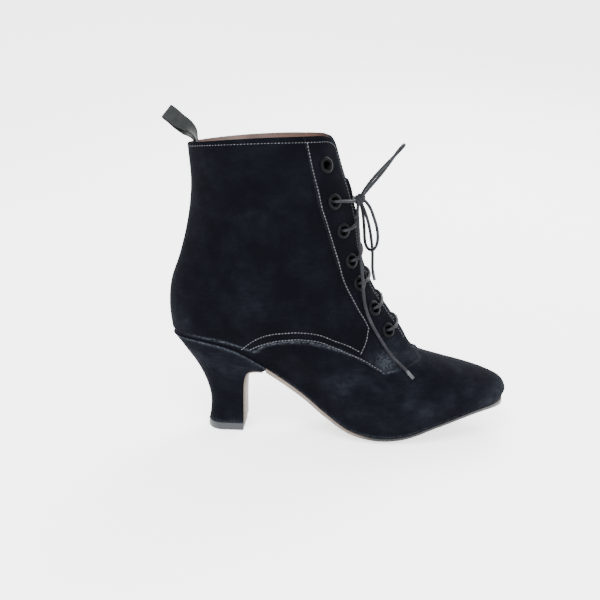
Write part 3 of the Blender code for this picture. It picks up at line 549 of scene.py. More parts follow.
def side_curve(points):
    return smooth_table(chord_shares(points), points)


def column(table, place):
    return [row[place] for row in table]


FRONT_POINTS = [(along(x), z) for _, x, z in FRONT_RIDGE]
FRONT_SHARES = chord_shares(FRONT_POINTS)
THROAT_RISE = float(FRONT_SHARES[column(FRONT_RIDGE, 0).index("throat")])

sole_curve = side_curve([(along(x), z) for _, x, z in SOLE_LINE])
shaft_height = COLLAR_HEIGHT - HEEL_HEIGHT
back_curve = side_curve([(along(x), HEEL_HEIGHT + up * shaft_height) for _, x, up in BACK_SEAM])
front_curve = side_curve(FRONT_POINTS)
width_tables = {
    LATERAL: smooth_table(column(LATERAL_WIDTHS, 0), [row[1:] for row in LATERAL_WIDTHS]),
    MEDIAL: smooth_table(column(MEDIAL_WIDTHS, 0), [row[1:] for row in MEDIAL_WIDTHS]),
}
reach_table = smooth_table(column(END_REACH, 0), [row[1:] for row in END_REACH])
facing_gap_table = smooth_table(column(FACING_GAP, 0), column(FACING_GAP, 1))


def core_width(side, share, rise):
    """Half width of a ring before its ends are rounded."""
    widths = width_tables[side](rise)
    total = widths[..., 0]
    for place in range(len(STATIONS) - 1):
        part = (share - STATIONS[place]) / (STATIONS[place + 1] - STATIONS[place])
        total = total + (widths[..., place + 1] - widths[..., place]) * ease(part)
    return total * BALL_WIDTH / 2


def round_end(distance, reach):
    near = 1 - np.clip(distance / reach, 0.0, 1.0)
    return np.sqrt(np.clip(1 - near * near, 0.0, 1.0))


def ring_length(rise):
    return np.linalg.norm(front_curve(rise) - back_curve(rise), axis=-1)


def middle_line(x):
    """How far the middle of the last has swung to the medial side."""
    ahead = np.clip((x - SWING_START) / (along(1.0) - SWING_START), 0.0, None)
    return SWING_TOE * ahead**2


def upper_base(side, angle, rise):
    """Points of the last's surface at a ring's angle and rise."""
    angle, rise = np.broadcast_arrays(np.asarray(angle, float), np.asarray(rise, float))
    share = (1 - np.cos(angle)) / 2
    back = back_curve(rise)
    front = front_curve(rise)
    chord = back + (front - back) * share[..., None]
    sole_ends = sole_curve(np.zeros_like(share)) * (1 - share[..., None])
    sole_ends = sole_ends + sole_curve(np.ones_like(share)) * share[..., None]
    sag = (sole_curve(share) - sole_ends) * ((1 - rise) ** 2)[..., None]
    flat = chord + sag
    arch = 4 * share * (1 - share) * COLLAR_ARCH * rise**2
    reach = reach_table(rise)
    length = ring_length(rise)
    rounding = round_end(share * length, reach[..., 0]) * round_end((1 - share) * length, reach[..., 1])
    half = core_width(side, share, rise) * rounding
    return np.stack([flat[..., 0], middle_line(flat[..., 0]) + side * half, flat[..., 1] + arch], axis=-1)


def upper_normal(side, angle, rise):
    """Outward unit normals of the last's surface."""
    angle, rise = np.broadcast_arrays(np.asarray(angle, float), np.asarray(rise, float))
    step = 2e-3
    around = upper_base(side, np.clip(angle + step, 0, math.pi), rise)
    around = around - upper_base(side, np.clip(angle - step, 0, math.pi), rise)
    upward = upper_base(side, angle, np.clip(rise + step, 0, 1))
    upward = upward - upper_base(side, angle, np.clip(rise - step, 0, 1))
    normal = np.cross(upward, around) * side
    return normal / np.linalg.norm(normal, axis=-1, keepdims=True)


def upper_surface(side, angle, rise, offset):
    offset = np.asarray(offset, float)[..., None]
    return upper_base(side, angle, rise) + upper_normal(side, angle, rise) * offset


def angle_at_half_width(side, half, rise):
    """Angle near the front of a ring where its half width has come down to the given size."""
    core = core_width(side, np.ones_like(rise), rise)
    reach = reach_table(rise)[..., 1]
    distance = reach * (1 - np.sqrt(np.clip(1 - (half / core) ** 2, 0.0, 1.0)))
    share = 1 - distance / ring_length(rise)
    return np.arccos(1 - 2 * share)


def half_gap(rise):
    """Half of the opening between the facings, with a round foot and a round top corner."""
    up = np.clip((rise - THROAT_RISE) / (1 - THROAT_RISE), 0.0, 1.0)
    foot = np.clip(up / THROAT_ROUND, 0.0, 1.0)
    foot = np.sqrt(np.clip(1 - (1 - foot) ** 2, 0.0, 1.0))
    top = np.clip((rise - 1 + CORNER_RISE) / CORNER_RISE, 0.0, 1.0)
    corner = 1 - np.sqrt(1 - top**2)
    return facing_gap_table(up)[..., 0] * foot + CORNER_BACK * corner


def end_angle(side, rise):
    return angle_at_half_width(side, half_gap(rise), rise)


def locate(side, x, z):
    """Angle and rise of the surface point that has this place in the side view."""
    angles, rises = np.meshgrid(np.linspace(0.05, math.pi - 0.02, 60), np.linspace(0, 1, 60))
    places = upper_base(side, angles, rises)
    nearest = np.argmin((places[..., 0] - x) ** 2 + (places[..., 2] - z) ** 2)
    guess = np.array([angles.flat[nearest], rises.flat[nearest]])
    target = np.array([x, z])
    step = 1e-4
    for _ in range(12):
        here = upper_base(side, guess[0], guess[1])[[0, 2]]
        turn = (upper_base(side, guess[0] + step, guess[1])[[0, 2]] - here) / step
        lift = (upper_base(side, guess[0], guess[1] + step)[[0, 2]] - here) / step
        guess = guess + np.linalg.solve(np.column_stack([turn, lift]), target - here)
        guess = np.clip(guess, [0.01, 0.0], [math.pi - 0.005, 1.0])
    return guess


def edge_rise_table(side):
    """Rise of the quarter's lower edge for each share of the way round."""
    places = [locate(side, x, z) for x, z in QUARTER_EDGE]
    shares = [0.0, 0.5 * places[0][0] / math.pi] + [p[0] / math.pi for p in places] + [1.0]
    rises = [QUARTER_LOW, QUARTER_LOW] + [p[1] for p in places] + [THROAT_RISE]
    return smooth_table(shares, rises, level=True)


def facing_angle_table(side):
    """Angle of the facing's back edge, for each rise."""
    places = np.array([locate(side, x, z) for x, z in FACING_EDGE])
    return smooth_table(places[:, 1], places[:, 0])


edge_rise = {side: edge_rise_table(side) for _, side in SIDES}
facing_angles = {side: facing_angle_table(side) for _, side in SIDES}


def facing_angle(side, rise):
    """Angle of the facing's back edge."""
    return facing_angles[side](rise)[..., 0]


def throat_point(side, across, rise, lift):
    """A point over the throat: across is half width towards the side, and below zero is on the other side."""
    side = side if across >= 0 else -side
    angle = angle_at_half_width(side, np.asarray(abs(across)), np.asarray(rise))
    return upper_surface(side, angle, rise, lift)


def eyelet_place(side, number):
    """Half width and rise of an eyelet's centre."""
    x, z = EYELETS[number]
    angle, rise = locate(side, x, z)
    place = upper_base(side, angle, rise)
    return abs(place[1] - middle_line(place[0])), rise


# Modelling with Blender's tools


def deselect_all():
    for item in bpy.context.selected_objects:
        item.select_set(False)


def edit_begin(item, select="SELECT"):
    bpy.context.view_layer.objects.active = item
    item.select_set(True)
    bpy.ops.object.mode_set(mode="EDIT")
    bpy.ops.mesh.select_mode(type="VERT")
    bpy.ops.mesh.select_all(action=select)


def edit_end():
    bpy.ops.object.mode_set(mode="OBJECT")


def merge_and_turn_out(item, distance=1e-6):
    """Coincident vertices become one and every face points outwards."""
    edit_begin(item)
    bpy.ops.mesh.remove_doubles(threshold=distance)
    bpy.ops.mesh.dissolve_degenerate(threshold=1e-7)
    bpy.ops.mesh.select_all(action="SELECT")
    bpy.ops.mesh.normals_make_consistent(inside=False)
    edit_end()


def scale_uv(item, across, length):
    layer = item.data.uv_layers.active.data
    flat = np.zeros(len(layer) * 2)
    layer.foreach_get("uv", flat)
    flat = flat.reshape(-1, 2) * (across, length)
    layer.foreach_set("uv", flat.ravel())


def placed_grid(name, points):
    """A grid primitive with its vertices placed at points[row, column], and its own UV map."""
    rows, columns = points.shape[:2]
    deselect_all()
    bpy.ops.mesh.primitive_grid_add(x_subdivisions=columns - 1, y_subdivisions=rows - 1, size=1)
    item = bpy.context.object
    item.name = name
    item.data.name = name
    item.data.vertices.foreach_set("co", points.reshape(-1, 3).ravel())
    item.data.update()
    return item


def lofted(name, rings, ends=True):
    """A closed form through rings of points, with each end drawn in to its middle."""
    rings = np.concatenate([rings, rings[:, :1]], axis=1)
    if ends:
        first = np.broadcast_to(rings[0, :-1].mean(axis=0), rings[:1].shape)
        last = np.broadcast_to(rings[-1, :-1].mean(axis=0), rings[:1].shape)
        rings = np.concatenate([first, rings, last])
    return placed_grid(name, rings)


def apply_modifiers(item):
    deselect_all()
    bpy.context.view_layer.objects.active = item
    item.select_set(True)
    for modifier in list(item.modifiers):
        bpy.ops.object.modifier_apply(modifier=modifier.name)


def shade(item, degrees=40.0):
    deselect_all()
    bpy.context.view_layer.objects.active = item
    item.select_set(True)
    bpy.ops.object.shade_smooth_by_angle(angle=math.radians(degrees))
    deselect_all()


def dress(item, materials, nodes=(), degrees=40.0):
    """Gives a finished piece its materials and its body, and hides the CAD nodes that it stands for."""
    for material in materials or ():
        item.data.materials.append(material)
    shade(item, degrees)
    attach(item, BODY)
    if nodes:
        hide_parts(*nodes)
    return item


def point_mask(item, name, values):
    layer = item.data.attributes.new(name, "FLOAT", "POINT")
    layer.data.foreach_set("value", np.asarray(values, np.float32).ravel())


# Material building


def new_material(name):
    material = bpy.data.materials.new(name)
    material.use_nodes = True
    return material, material.node_tree, material.node_tree.nodes["Principled BSDF"]


def add(tree, kind, **settings):
    item = tree.nodes.new(kind)
    for key, value in settings.items():
        if key in item.inputs:
            item.inputs[key].default_value = value
        else:
            setattr(item, key, value)
    return item


def noise(tree, vector, scale, detail=3.0, roughness=0.55):
    item = add(tree, "ShaderNodeTexNoise")
    item.inputs["Scale"].default_value = scale
    item.inputs["Detail"].default_value = detail
    item.inputs["Roughness"].default_value = roughness
    tree.links.new(vector, item.inputs["Vector"])
    return item.outputs["Fac"]


def math_node(tree, operation, first, second=0.5, clamp=False):
    item = add(tree, "ShaderNodeMath", operation=operation, use_clamp=clamp)
    for socket, value in zip(item.inputs, (first, second)):
        if isinstance(value, bpy.types.NodeSocket):
            tree.links.new(value, socket)
        else:
            socket.default_value = value
    return item.outputs[0]


def span(tree, value, low, high, to_low=0.0, to_high=1.0):
    item = add(tree, "ShaderNodeMapRange")
    for key, number in (("From Min", low), ("From Max", high), ("To Min", to_low), ("To Max", to_high)):
        item.inputs[key].default_value = number
    tree.links.new(value, item.inputs["Value"])
    return item.outputs["Result"]


def mix(tree, factor, first, second):
    item = add(tree, "ShaderNodeMix", data_type="RGBA")
    places = (item.inputs[0], item.inputs[6], item.inputs[7])
    for socket, value in zip(places, (factor, first, second)):
        if isinstance(value, bpy.types.NodeSocket):
            tree.links.new(value, socket)
        elif isinstance(value, (int, float)):
            socket.default_value = value
        else:
            socket.default_value = (*tuple(value)[:3], 1.0)
    return item.outputs[2]


def bump(tree, height, strength, distance, normal=None):
    item = add(tree, "ShaderNodeBump")
    item.inputs["Strength"].default_value = strength
    item.inputs["Distance"].default_value = distance
    tree.links.new(height, item.inputs["Height"])
    if normal is not None:
        tree.links.new(normal, item.inputs["Normal"])
    return item.outputs["Normal"]


def attribute(tree, name):
    return add(tree, "ShaderNodeAttribute", attribute_name=name).outputs["Fac"]


def group(name, inputs, outputs):
    """An empty shader node group with its sockets."""
    tree = bpy.data.node_groups.new(name, "ShaderNodeTree")
    for socket, kind, value in inputs:
        made = tree.interface.new_socket(socket, in_out="INPUT", socket_type=kind)
        if value is not None:
            made.default_value = value
    for socket, kind in outputs:
        tree.interface.new_socket(socket, in_out="OUTPUT", socket_type=kind)
    return tree, tree.nodes.new("NodeGroupInput").outputs, tree.nodes.new("NodeGroupOutput").inputs


def use_group(tree, name, **values):
    item = add(tree, "ShaderNodeGroup", node_tree=bpy.data.node_groups[name])
    for key, value in values.items():
        socket = item.inputs[key.replace("_", " ")]
        if isinstance(value, bpy.types.NodeSocket):
            tree.links.new(value, socket)
        elif isinstance(value, (int, float)):
            socket.default_value = value
        else:
            socket.default_value = (*tuple(value)[:3], 1.0)
    return item.outputs


COLOUR = "NodeSocketColor"
NUMBER = "NodeSocketFloat"
VECTOR = "NodeSocketVector"


def build_pile_group():
    """Velvet pile: brushed streaks and blooms of a paler tone, with fuzz for the normal."""
    tree, given, made = group(
        "pile",
        (
            ("Deep", COLOUR, (0.006, 0.007, 0.012, 1.0)),
            ("Brushed", COLOUR, (0.03, 0.036, 0.06, 1.0)),
            ("Brush", NUMBER, 0.2),
            ("Wear", NUMBER, 0.0),
            ("Spread", NUMBER, 0.3),
        ),
        (("Colour", COLOUR), ("Roughness", NUMBER), ("Normal", VECTOR)),
    )
    place = add(tree, "ShaderNodeTexCoord").outputs["Object"]
    broad = span(tree, noise(tree, place, 34.0, 5.0, 0.62), 0.44, 0.74)
    cloud = span(tree, noise(tree, place, 95.0, 4.0, 0.6), 0.40, 0.78)
    streak_place = add(tree, "ShaderNodeMapping")
    streak_place.inputs["Scale"].default_value = (0.6, 1.0, 1.7)
    streak_place.inputs["Rotation"].default_value = (0.0, 0.45, 0.0)
    tree.links.new(place, streak_place.inputs["Vector"])
    streak = span(tree, noise(tree, streak_place.outputs["Vector"], 210.0, 3.0, 0.6), 0.42, 0.80)
    patches = math_node(tree, "MULTIPLY", broad, given["Spread"])
    patches = math_node(tree, "ADD", patches, given["Brush"])
    faint_cloud = math_node(tree, "MULTIPLY", cloud, 0.7)
    texture = math_node(tree, "ADD", faint_cloud, math_node(tree, "MULTIPLY", streak, 0.5))
    tone = math_node(tree, "MULTIPLY", patches, math_node(tree, "ADD", texture, 0.25), clamp=True)
    nap = mix(tree, tone, given["Deep"], given["Brushed"])
    lint = span(tree, noise(tree, place, 1500.0, 1.0, 0.5), 0.72, 0.82)
    frayed = span(tree, noise(tree, place, 620.0, 3.0, 0.65), 0.36, 0.68)
    worn = math_node(tree, "MULTIPLY", given["Wear"], frayed, clamp=True)
    speck = math_node(tree, "MULTIPLY", lint, 0.10)
    bare = math_node(tree, "ADD", worn, speck, clamp=True)
    tree.links.new(mix(tree, bare, nap, (0.050, 0.056, 0.068)), made["Colour"])
    tree.links.new(span(tree, tone, 0.0, 1.0, 0.96, 0.80), made["Roughness"])
    pile = noise(tree, place, 1300.0, 2.0, 0.6)
    fuzz = math_node(tree, "ADD", pile, math_node(tree, "MULTIPLY", streak, 0.5))
    fuzz = math_node(tree, "ADD", fuzz, math_node(tree, "MULTIPLY", worn, 0.8))
    tree.links.new(bump(tree, fuzz, 0.55, 0.00035), made["Normal"])


def build_braid_group():
    """Round braid read from a cord's own UV map: u once round, v in metres along."""
    tree, given, made = group(
        "braid",
        (("Pitch", NUMBER, 0.0016), ("Strands", NUMBER, 4.0)),
        (("Height", NUMBER), ("Shade", NUMBER)),
    )
    parts = add(tree, "ShaderNodeSeparateXYZ")
    tree.links.new(add(tree, "ShaderNodeTexCoord").outputs["UV"], parts.inputs[0])
    turn = math_node(tree, "MULTIPLY", parts.outputs["X"], given["Strands"])
    run = math_node(tree, "DIVIDE", parts.outputs["Y"], given["Pitch"])
    waves = []
    for operation in ("ADD", "SUBTRACT"):
        phase = math_node(tree, "MULTIPLY", math_node(tree, operation, run, turn), math.pi)
        waves.append(math_node(tree, "ABSOLUTE", math_node(tree, "SINE", phase, 0.0), 0.0))
    height = math_node(tree, "MAXIMUM", waves[0], waves[1])
    tree.links.new(height, made["Height"])
    tree.links.new(span(tree, height, 0.45, 1.0, 0.45, 1.15), made["Shade"])


def build_scuff_group():
    """Scuffs and dirt of hard-worn leather and rubber: long scratches and soft stains."""
    tree, given, made = group(
        "scuffs",
        (
            ("Clean", COLOUR, (0.3, 0.25, 0.2, 1.0)),
            ("Dirt", COLOUR, (0.07, 0.06, 0.05, 1.0)),
            ("Amount", NUMBER, 0.5),
        ),
        (("Colour", COLOUR), ("Roughness", NUMBER), ("Normal", VECTOR)),
    )
    place = add(tree, "ShaderNodeTexCoord").outputs["Object"]
    long_place = add(tree, "ShaderNodeMapping")
    long_place.inputs["Scale"].default_value = (0.16, 1.0, 1.0)
    tree.links.new(place, long_place.inputs["Vector"])
    stain = span(tree, noise(tree, place, 60.0, 5.0, 0.6), 0.38, 0.70)
    scratch = span(tree, noise(tree, long_place.outputs["Vector"], 900.0, 4.0, 0.7), 0.52, 0.66)
    grain = noise(tree, place, 2200.0, 2.0, 0.6)
    faint_stain = math_node(tree, "MULTIPLY", stain, 0.55)
    dirt = math_node(tree, "ADD", faint_stain, math_node(tree, "MULTIPLY", scratch, 0.45))
    dirt = math_node(tree, "MULTIPLY", dirt, given["Amount"], clamp=True)
    tree.links.new(mix(tree, dirt, given["Clean"], given["Dirt"]), made["Colour"])
    tree.links.new(span(tree, dirt, 0.0, 1.0, 0.48, 0.80), made["Roughness"])
    relief = math_node(tree, "SUBTRACT", grain, math_node(tree, "MULTIPLY", scratch, 0.7))
    tree.links.new(bump(tree, relief, 0.35, 0.0002), made["Normal"])


def connect(tree, shader, outputs):
    tree.links.new(outputs["Colour"], shader.inputs["Base Color"])
    tree.links.new(outputs["Roughness"], shader.inputs["Roughness"])
    tree.links.new(outputs["Normal"], shader.inputs["Normal"])


def velvet_material(name, spread, sheen, masks):
    """Velvet whose brushed and worn places come from the piece's own masks, where it has them."""
    material, tree, shader = new_material(name)
    values = {"Deep": look().velvet_colour, "Brushed": look().brushed_colour, "Spread": spread, "Brush": 0.10}
    if masks:
        values["Brush"] = attribute(tree, "brush")
        values["Wear"] = attribute(tree, "wear")
    connect(tree, shader, use_group(tree, "pile", **values))
    shader.inputs["Specular IOR Level"].default_value = 0.03
    shader.inputs["Sheen Weight"].default_value = sheen
    shader.inputs["Sheen Roughness"].default_value = 0.42
    shader.inputs["Sheen Tint"].default_value = (0.42, 0.50, 0.72, 1.0)
    return material


def lining_material():
    material, tree, shader = new_material("lining")
    place = add(tree, "ShaderNodeTexCoord").outputs["Object"]
    cloud = span(tree, noise(tree, place, 70.0, 4.0), 0.35, 0.70)
    rubbed = tuple(min(1.0, value * 2.2) for value in look().lining_colour)
    tree.links.new(mix(tree, cloud, look().lining_colour, rubbed), shader.inputs["Base Color"])
    tree.links.new(span(tree, cloud, 0.0, 1.0, 0.46, 0.30), shader.inputs["Roughness"])
    tree.links.new(bump(tree, noise(tree, place, 900.0, 3.0), 0.25, 0.0002), shader.inputs["Normal"])
    shader.inputs["Coat Weight"].default_value = 0.25
    shader.inputs["Coat Roughness"].default_value = 0.25
    return material


def thread_material():
    material, tree, shader = new_material("thread")
    place = add(tree, "ShaderNodeTexCoord").outputs["Object"]
    soiled = span(tree, noise(tree, place, 260.0, 3.0), 0.35, 0.65)
    dark = tuple(value * 0.42 for value in look().thread_colour)
    tree.links.new(mix(tree, soiled, dark, look().thread_colour), shader.inputs["Base Color"])
    tree.links.new(bump(tree, noise(tree, place, 5200.0, 2.0), 0.5, 0.0001), shader.inputs["Normal"])
    shader.inputs["Roughness"].default_value = 0.62
    return material


# Painted shade: near-black colour for the beads that stand in for the shade inside each needle hole
def needle_hole_shade_material():
    material, tree, shader = new_material("needle_hole_shade")
    place = add(tree, "ShaderNodeTexCoord").outputs["Object"]
    tone = noise(tree, place, 800.0)
    tree.links.new(mix(tree, tone, (0.001, 0.001, 0.002), (0.004, 0.004, 0.006)), shader.inputs["Base Color"])
    shader.inputs["Roughness"].default_value = 0.95
    return material


def cord_material(name="lace_cord", lift=1.0):
    material, tree, shader = new_material(name)
    braid = use_group(tree, "braid", Pitch=0.0015, Strands=4.0)
    place = add(tree, "ShaderNodeTexCoord").outputs["Object"]
    worn = span(tree, noise(tree, place, 140.0, 4.0), 0.35, 0.72)
    base = tuple(value * lift for value in look().lace_colour)
    pale = tuple(min(1.0, value * 2.4) for value in base)
    tone = math_node(tree, "MULTIPLY", braid["Shade"], worn, clamp=True)
    tree.links.new(mix(tree, tone, base, pale), shader.inputs["Base Color"])
    tree.links.new(bump(tree, braid["Height"], 0.8, 0.00016), shader.inputs["Normal"])
    tree.links.new(span(tree, worn, 0.0, 1.0, 0.62, 0.48), shader.inputs["Roughness"])
    shader.inputs["Specular IOR Level"].default_value = 0.14
    return material


def tip_material():
    material, tree, shader = new_material("lace_tip")
    place = add(tree, "ShaderNodeTexCoord").outputs["Object"]
    rubbed = span(tree, noise(tree, place, 420.0, 4.0), 0.40, 0.65)
    colour = mix(tree, rubbed, (0.022, 0.024, 0.027), (0.060, 0.062, 0.066))
    tree.links.new(colour, shader.inputs["Base Color"])
    tree.links.new(bump(tree, rubbed, 0.3, 0.0001), shader.inputs["Normal"])
    shader.inputs["Roughness"].default_value = 0.38
    shader.inputs["Specular IOR Level"].default_value = 0.25
    return material


def ribbon_material():
    material, tree, shader = new_material("ribbon")
    parts = add(tree, "ShaderNodeSeparateXYZ")
    tree.links.new(add(tree, "ShaderNodeTexCoord").outputs["UV"], parts.inputs[0])
    rib = math_node(tree, "SINE", math_node(tree, "MULTIPLY", parts.outputs["Y"], 2 * math.pi / 0.0009), 0.0)
    rib = span(tree, rib, -1.0, 1.0)
    place = add(tree, "ShaderNodeTexCoord").outputs["Object"]
    dust = span(tree, noise(tree, place, 180.0, 4.0), 0.35, 0.70)
    # Painted shade: the troughs between the ribs take a darker copy of the ribbon's colour, and the crests
    # keep the colour itself
    dark = tuple(value * 0.55 for value in look().ribbon_colour)
    pale = tuple(value * 2.1 for value in look().ribbon_colour)
    ribbed = mix(tree, rib, dark, look().ribbon_colour)
    colour = mix(tree, math_node(tree, "MULTIPLY", dust, 0.5), ribbed, pale)
    tree.links.new(colour, shader.inputs["Base Color"])
    height = math_node(tree, "ADD", rib, math_node(tree, "MULTIPLY", noise(tree, place, 4200.0), 0.4))
    tree.links.new(bump(tree, height, 0.7, 0.0002), shader.inputs["Normal"])
    shader.inputs["Roughness"].default_value = 0.58
    shader.inputs["Specular IOR Level"].default_value = 0.12
    return material


def metal_material():
    """Black enamel rubbed through to bright metal on the raised rim."""
    material, tree, shader = new_material("eyelet_metal")
    place = add(tree, "ShaderNodeTexCoord").outputs["Object"]
    uneven = math_node(tree, "SUBTRACT", noise(tree, place, 700.0, 4.0), 0.5)
    rubbed = math_node(tree, "ADD", attribute(tree, "rim"), uneven)
    rubbed = span(tree, rubbed, 1.08, 1.32)
    colour = mix(tree, rubbed, (0.0018, 0.0020, 0.0026), (0.17, 0.175, 0.19))
    tree.links.new(colour, shader.inputs["Base Color"])
    tree.links.new(span(tree, rubbed, 0.0, 1.0, 0.0, 0.95), shader.inputs["Metallic"])
    tree.links.new(span(tree, rubbed, 0.0, 1.0, 0.36, 0.26), shader.inputs["Roughness"])
    tree.links.new(bump(tree, noise(tree, place, 1600.0, 3.0), 0.15, 0.0001), shader.inputs["Normal"])
    shader.inputs["Specular IOR Level"].default_value = 0.05
    return material


def leather_material(name, clean, dirt, amount, dyed=False):
    """Scuffed leather or rubber, with its edge dyed dark by the piece's own mask where it has one."""
    material, tree, shader = new_material(name)
    scuffed = use_group(tree, "scuffs", Clean=clean, Dirt=dirt, Amount=amount)
    connect(tree, shader, scuffed)
    if dyed:
        edge = mix(tree, attribute(tree, "dye"), scuffed["Colour"], (0.004, 0.004, 0.005))
        tree.links.new(edge, shader.inputs["Base Color"])
    shader.inputs["Specular IOR Level"].default_value = 0.4
    return material


def floor_material():
    material, tree, shader = new_material("studio_floor")
    tone = look().floor_tone
    place = add(tree, "ShaderNodeTexCoord").outputs["Object"]
    faint = span(tree, noise(tree, place, 3.0), 0.3, 0.7, 0.0, 0.02)
    tree.links.new(mix(tree, faint, (tone, tone, tone), (tone * 0.97,) * 3), shader.inputs["Base Color"])
    shader.inputs["Roughness"].default_value = 0.9
    shader.inputs["Specular IOR Level"].default_value = 0.1
    shader.inputs["Emission Color"].default_value = (1.0, 1.0, 1.0, 1.0)
    shader.inputs["Emission Strength"].default_value = look().floor_glow
    return material


# Camera, light and floor


def add_camera():
    turn, down = CAMERA_TURN, CAMERA_DOWN
    ahead = Vector((-math.sin(turn) * math.cos(down), math.cos(turn) * math.cos(down), -math.sin(down)))
    right = Vector((math.cos(turn), math.sin(turn), 0.0))
    up = right.cross(ahead)
    rolled_right = right * math.cos(CAMERA_ROLL) + up * math.sin(CAMERA_ROLL)
    rolled_up = up * math.cos(CAMERA_ROLL) - right * math.sin(CAMERA_ROLL)
    facing = Matrix((rolled_right, rolled_up, -ahead)).transposed()
    bpy.ops.object.camera_add(location=CAMERA_PLACE, rotation=facing.to_euler())
    camera = bpy.context.object
    camera.data.sensor_width = SENSOR
    camera.data.lens = SENSOR * FOCAL_PIXELS / PICTURE_SIDE
    camera.data.clip_start = 0.01
    bpy.context.scene.camera = camera


def add_soft_light(name, place, target, size, power, colour=(1.0, 1.0, 1.0)):
    direction = Vector(target) - Vector(place)
    turn = direction.to_track_quat("-Z", "Y").to_euler()
    bpy.ops.object.light_add(type="AREA", location=place, rotation=turn)
    light = bpy.context.object
    light.name = name
    light.data.shape = "DISK"
    light.data.size = size
    light.data.energy = power
    light.data.color = colour


def add_world():
    world = bpy.data.worlds.new("studio")
    world.use_nodes = True
    background = world.node_tree.nodes["Background"]
    background.inputs["Color"].default_value = (0.96, 0.98, 1.0, 1.0)
    background.inputs["Strength"].default_value = 2.3
    bpy.context.scene.world = world


def add_floor():
    """A wide sheet that runs level under the boot and rises behind it in one soft bend."""
    reach, bend, back, wide = 4.0, 2.6, 0.9, 6.0
    run = [(-reach, 0.0)]
    for step in range(13):
        turn = math.radians(90.0) * step / 12
        run.append((back + bend * math.sin(turn), bend - bend * math.cos(turn)))
    run.append((back + bend, 6.0))
    across = np.linspace(-wide, wide, 9)
    points = np.array([[(x, y, z) for x in across] for y, z in run])
    floor = placed_grid("studio_floor", points)
    floor.data.materials.append(floor_material())
    shade(floor, 60.0)


class BOOT_OT_stage(bpy.types.Operator):
    """Add the camera at the photograph's view, the floor and the soft lights"""

    bl_idname = "boot.stage"
    bl_label = "Stage"

    def execute(self, context):
        deselect_all()
        add_camera()
        add_world()
        add_floor()
        power = look().key_power
        middle = (0.08, 0.0, 0.10)
        add_soft_light("key", (-0.5, -1.3, 1.7), middle, 1.4, power)
        add_soft_light("fill", (1.1, -1.5, 0.9), middle, 1.2, power * 0.45)
        add_soft_light("rim", (0.5, 1.4, 1.3), middle, 1.0, power * 0.6)
        return {"FINISHED"}


# Cords


def sweep(line, radius, sides=12):
    """Rings of a round tube that follows a line, with round ends."""
    line = np.asarray(line, float)
    ahead = np.gradient(line, axis=0)
    ahead = ahead / np.linalg.norm(ahead, axis=1, keepdims=True)
    sizes = np.full(len(line), float(radius)) if np.isscalar(radius) else np.asarray(radius, float)
    level = np.cross(ahead[0], (0.31, 0.17, 0.94))
    rings = []
    turns = np.linspace(0, 2 * math.pi, sides, endpoint=False)
    for here, forward, size in zip(line, ahead, sizes):
        level = level - forward * np.dot(level, forward)
        level = level / np.linalg.norm(level)
        upright = np.cross(forward, level)
        ring = here + (np.outer(np.cos(turns), level) + np.outer(np.sin(turns), upright)) * size
        rings.append(ring)
    return np.array(rings)


def even_line(route, spacing):
    """Points at an even distance on a smooth curve through a route."""
    curve = side_curve(route)
    fine = curve(np.linspace(0, 1, 600))
    shares = chord_shares(fine)
    length = np.linalg.norm(np.diff(fine, axis=0), axis=1).sum()
    count = max(8, int(round(length / spacing)) + 1)
    at = np.interp(np.linspace(0, 1, count), shares, np.linspace(0, 1, 600))
    return curve(at), length


def soften(line, rounds):
    """Evens the bends of a line while its ends stay."""
    line = line.copy()
    for _ in range(rounds):
        line[1:-1] += 0.5 * ((line[:-2] + line[2:]) / 2 - line[1:-1])
    return line


def line_length(line):
    return float(np.linalg.norm(np.diff(line, axis=0), axis=1).sum())


def make_tube(name, line, radius, sides=12):
    item = lofted(name, sweep(line, radius, sides))
    scale_uv(item, 1.0, line_length(line))
    merge_and_turn_out(item)
    return item


def into_knot(line, both):
    """The line with its end, or both ends, carried on into the knot."""
    centre = np.array(KNOT_CENTRE)
    first = line[0] + (centre - line[0]) * INTO_KNOT
    parts = [first[None], (first + line[0])[None] / 2, line]
    if both:
        last = line[-1] + (centre - line[-1]) * INTO_KNOT
        parts += [(last + line[-1])[None] / 2, last[None]]
    return np.vstack(parts)


INTO_KNOT = 0.55
FREE_CORDS = (
    # name, route, rounds of evening, far end
    ("lace_loop_up", LOOP_UP, 14, "knot"),
    ("lace_loop_down", LOOP_DOWN, 14, "knot"),
    ("lace_end_near", END_NEAR, 6, "fitting"),
    ("lace_end_far", END_FAR, 6, "fitting"),
)
TIP_LENGTH = 0.0085


class BOOT_OT_free_cords(bpy.types.Operator):
    """Add the bow's two loops and the lace's two free ends with their tips"""

    bl_idname = "boot.free_cords"
    bl_label = "Bow and ends"

    def execute(self, context):
        radius = look().lace_diameter / 2
        cord = cord_material()
        tip = tip_material()
        for name, route, rounds, far_end in FREE_CORDS:
            line = soften(even_line(route, 0.0010)[0], rounds)
            line = into_knot(line, both=far_end == "knot")
            piece = make_tube(name + "_cord", line, radius)
            dress(piece, [cord], [name])
            extras = []
            if far_end == "fitting":
                shares = np.linspace(0.0, 1.0, 10)
                count = int(TIP_LENGTH / 0.0010)
                sizes = radius * (1.06 - 0.30 * ease((shares - 0.80) / 0.20))
                tip_line = even_line(line[-count:], TIP_LENGTH / 9)[0][:10]
                extras.append(make_tube(name + "_tip", tip_line, sizes[: len(tip_line)] * 1.04))
                dress(extras[0], [tip])
        return {"FINISHED"}


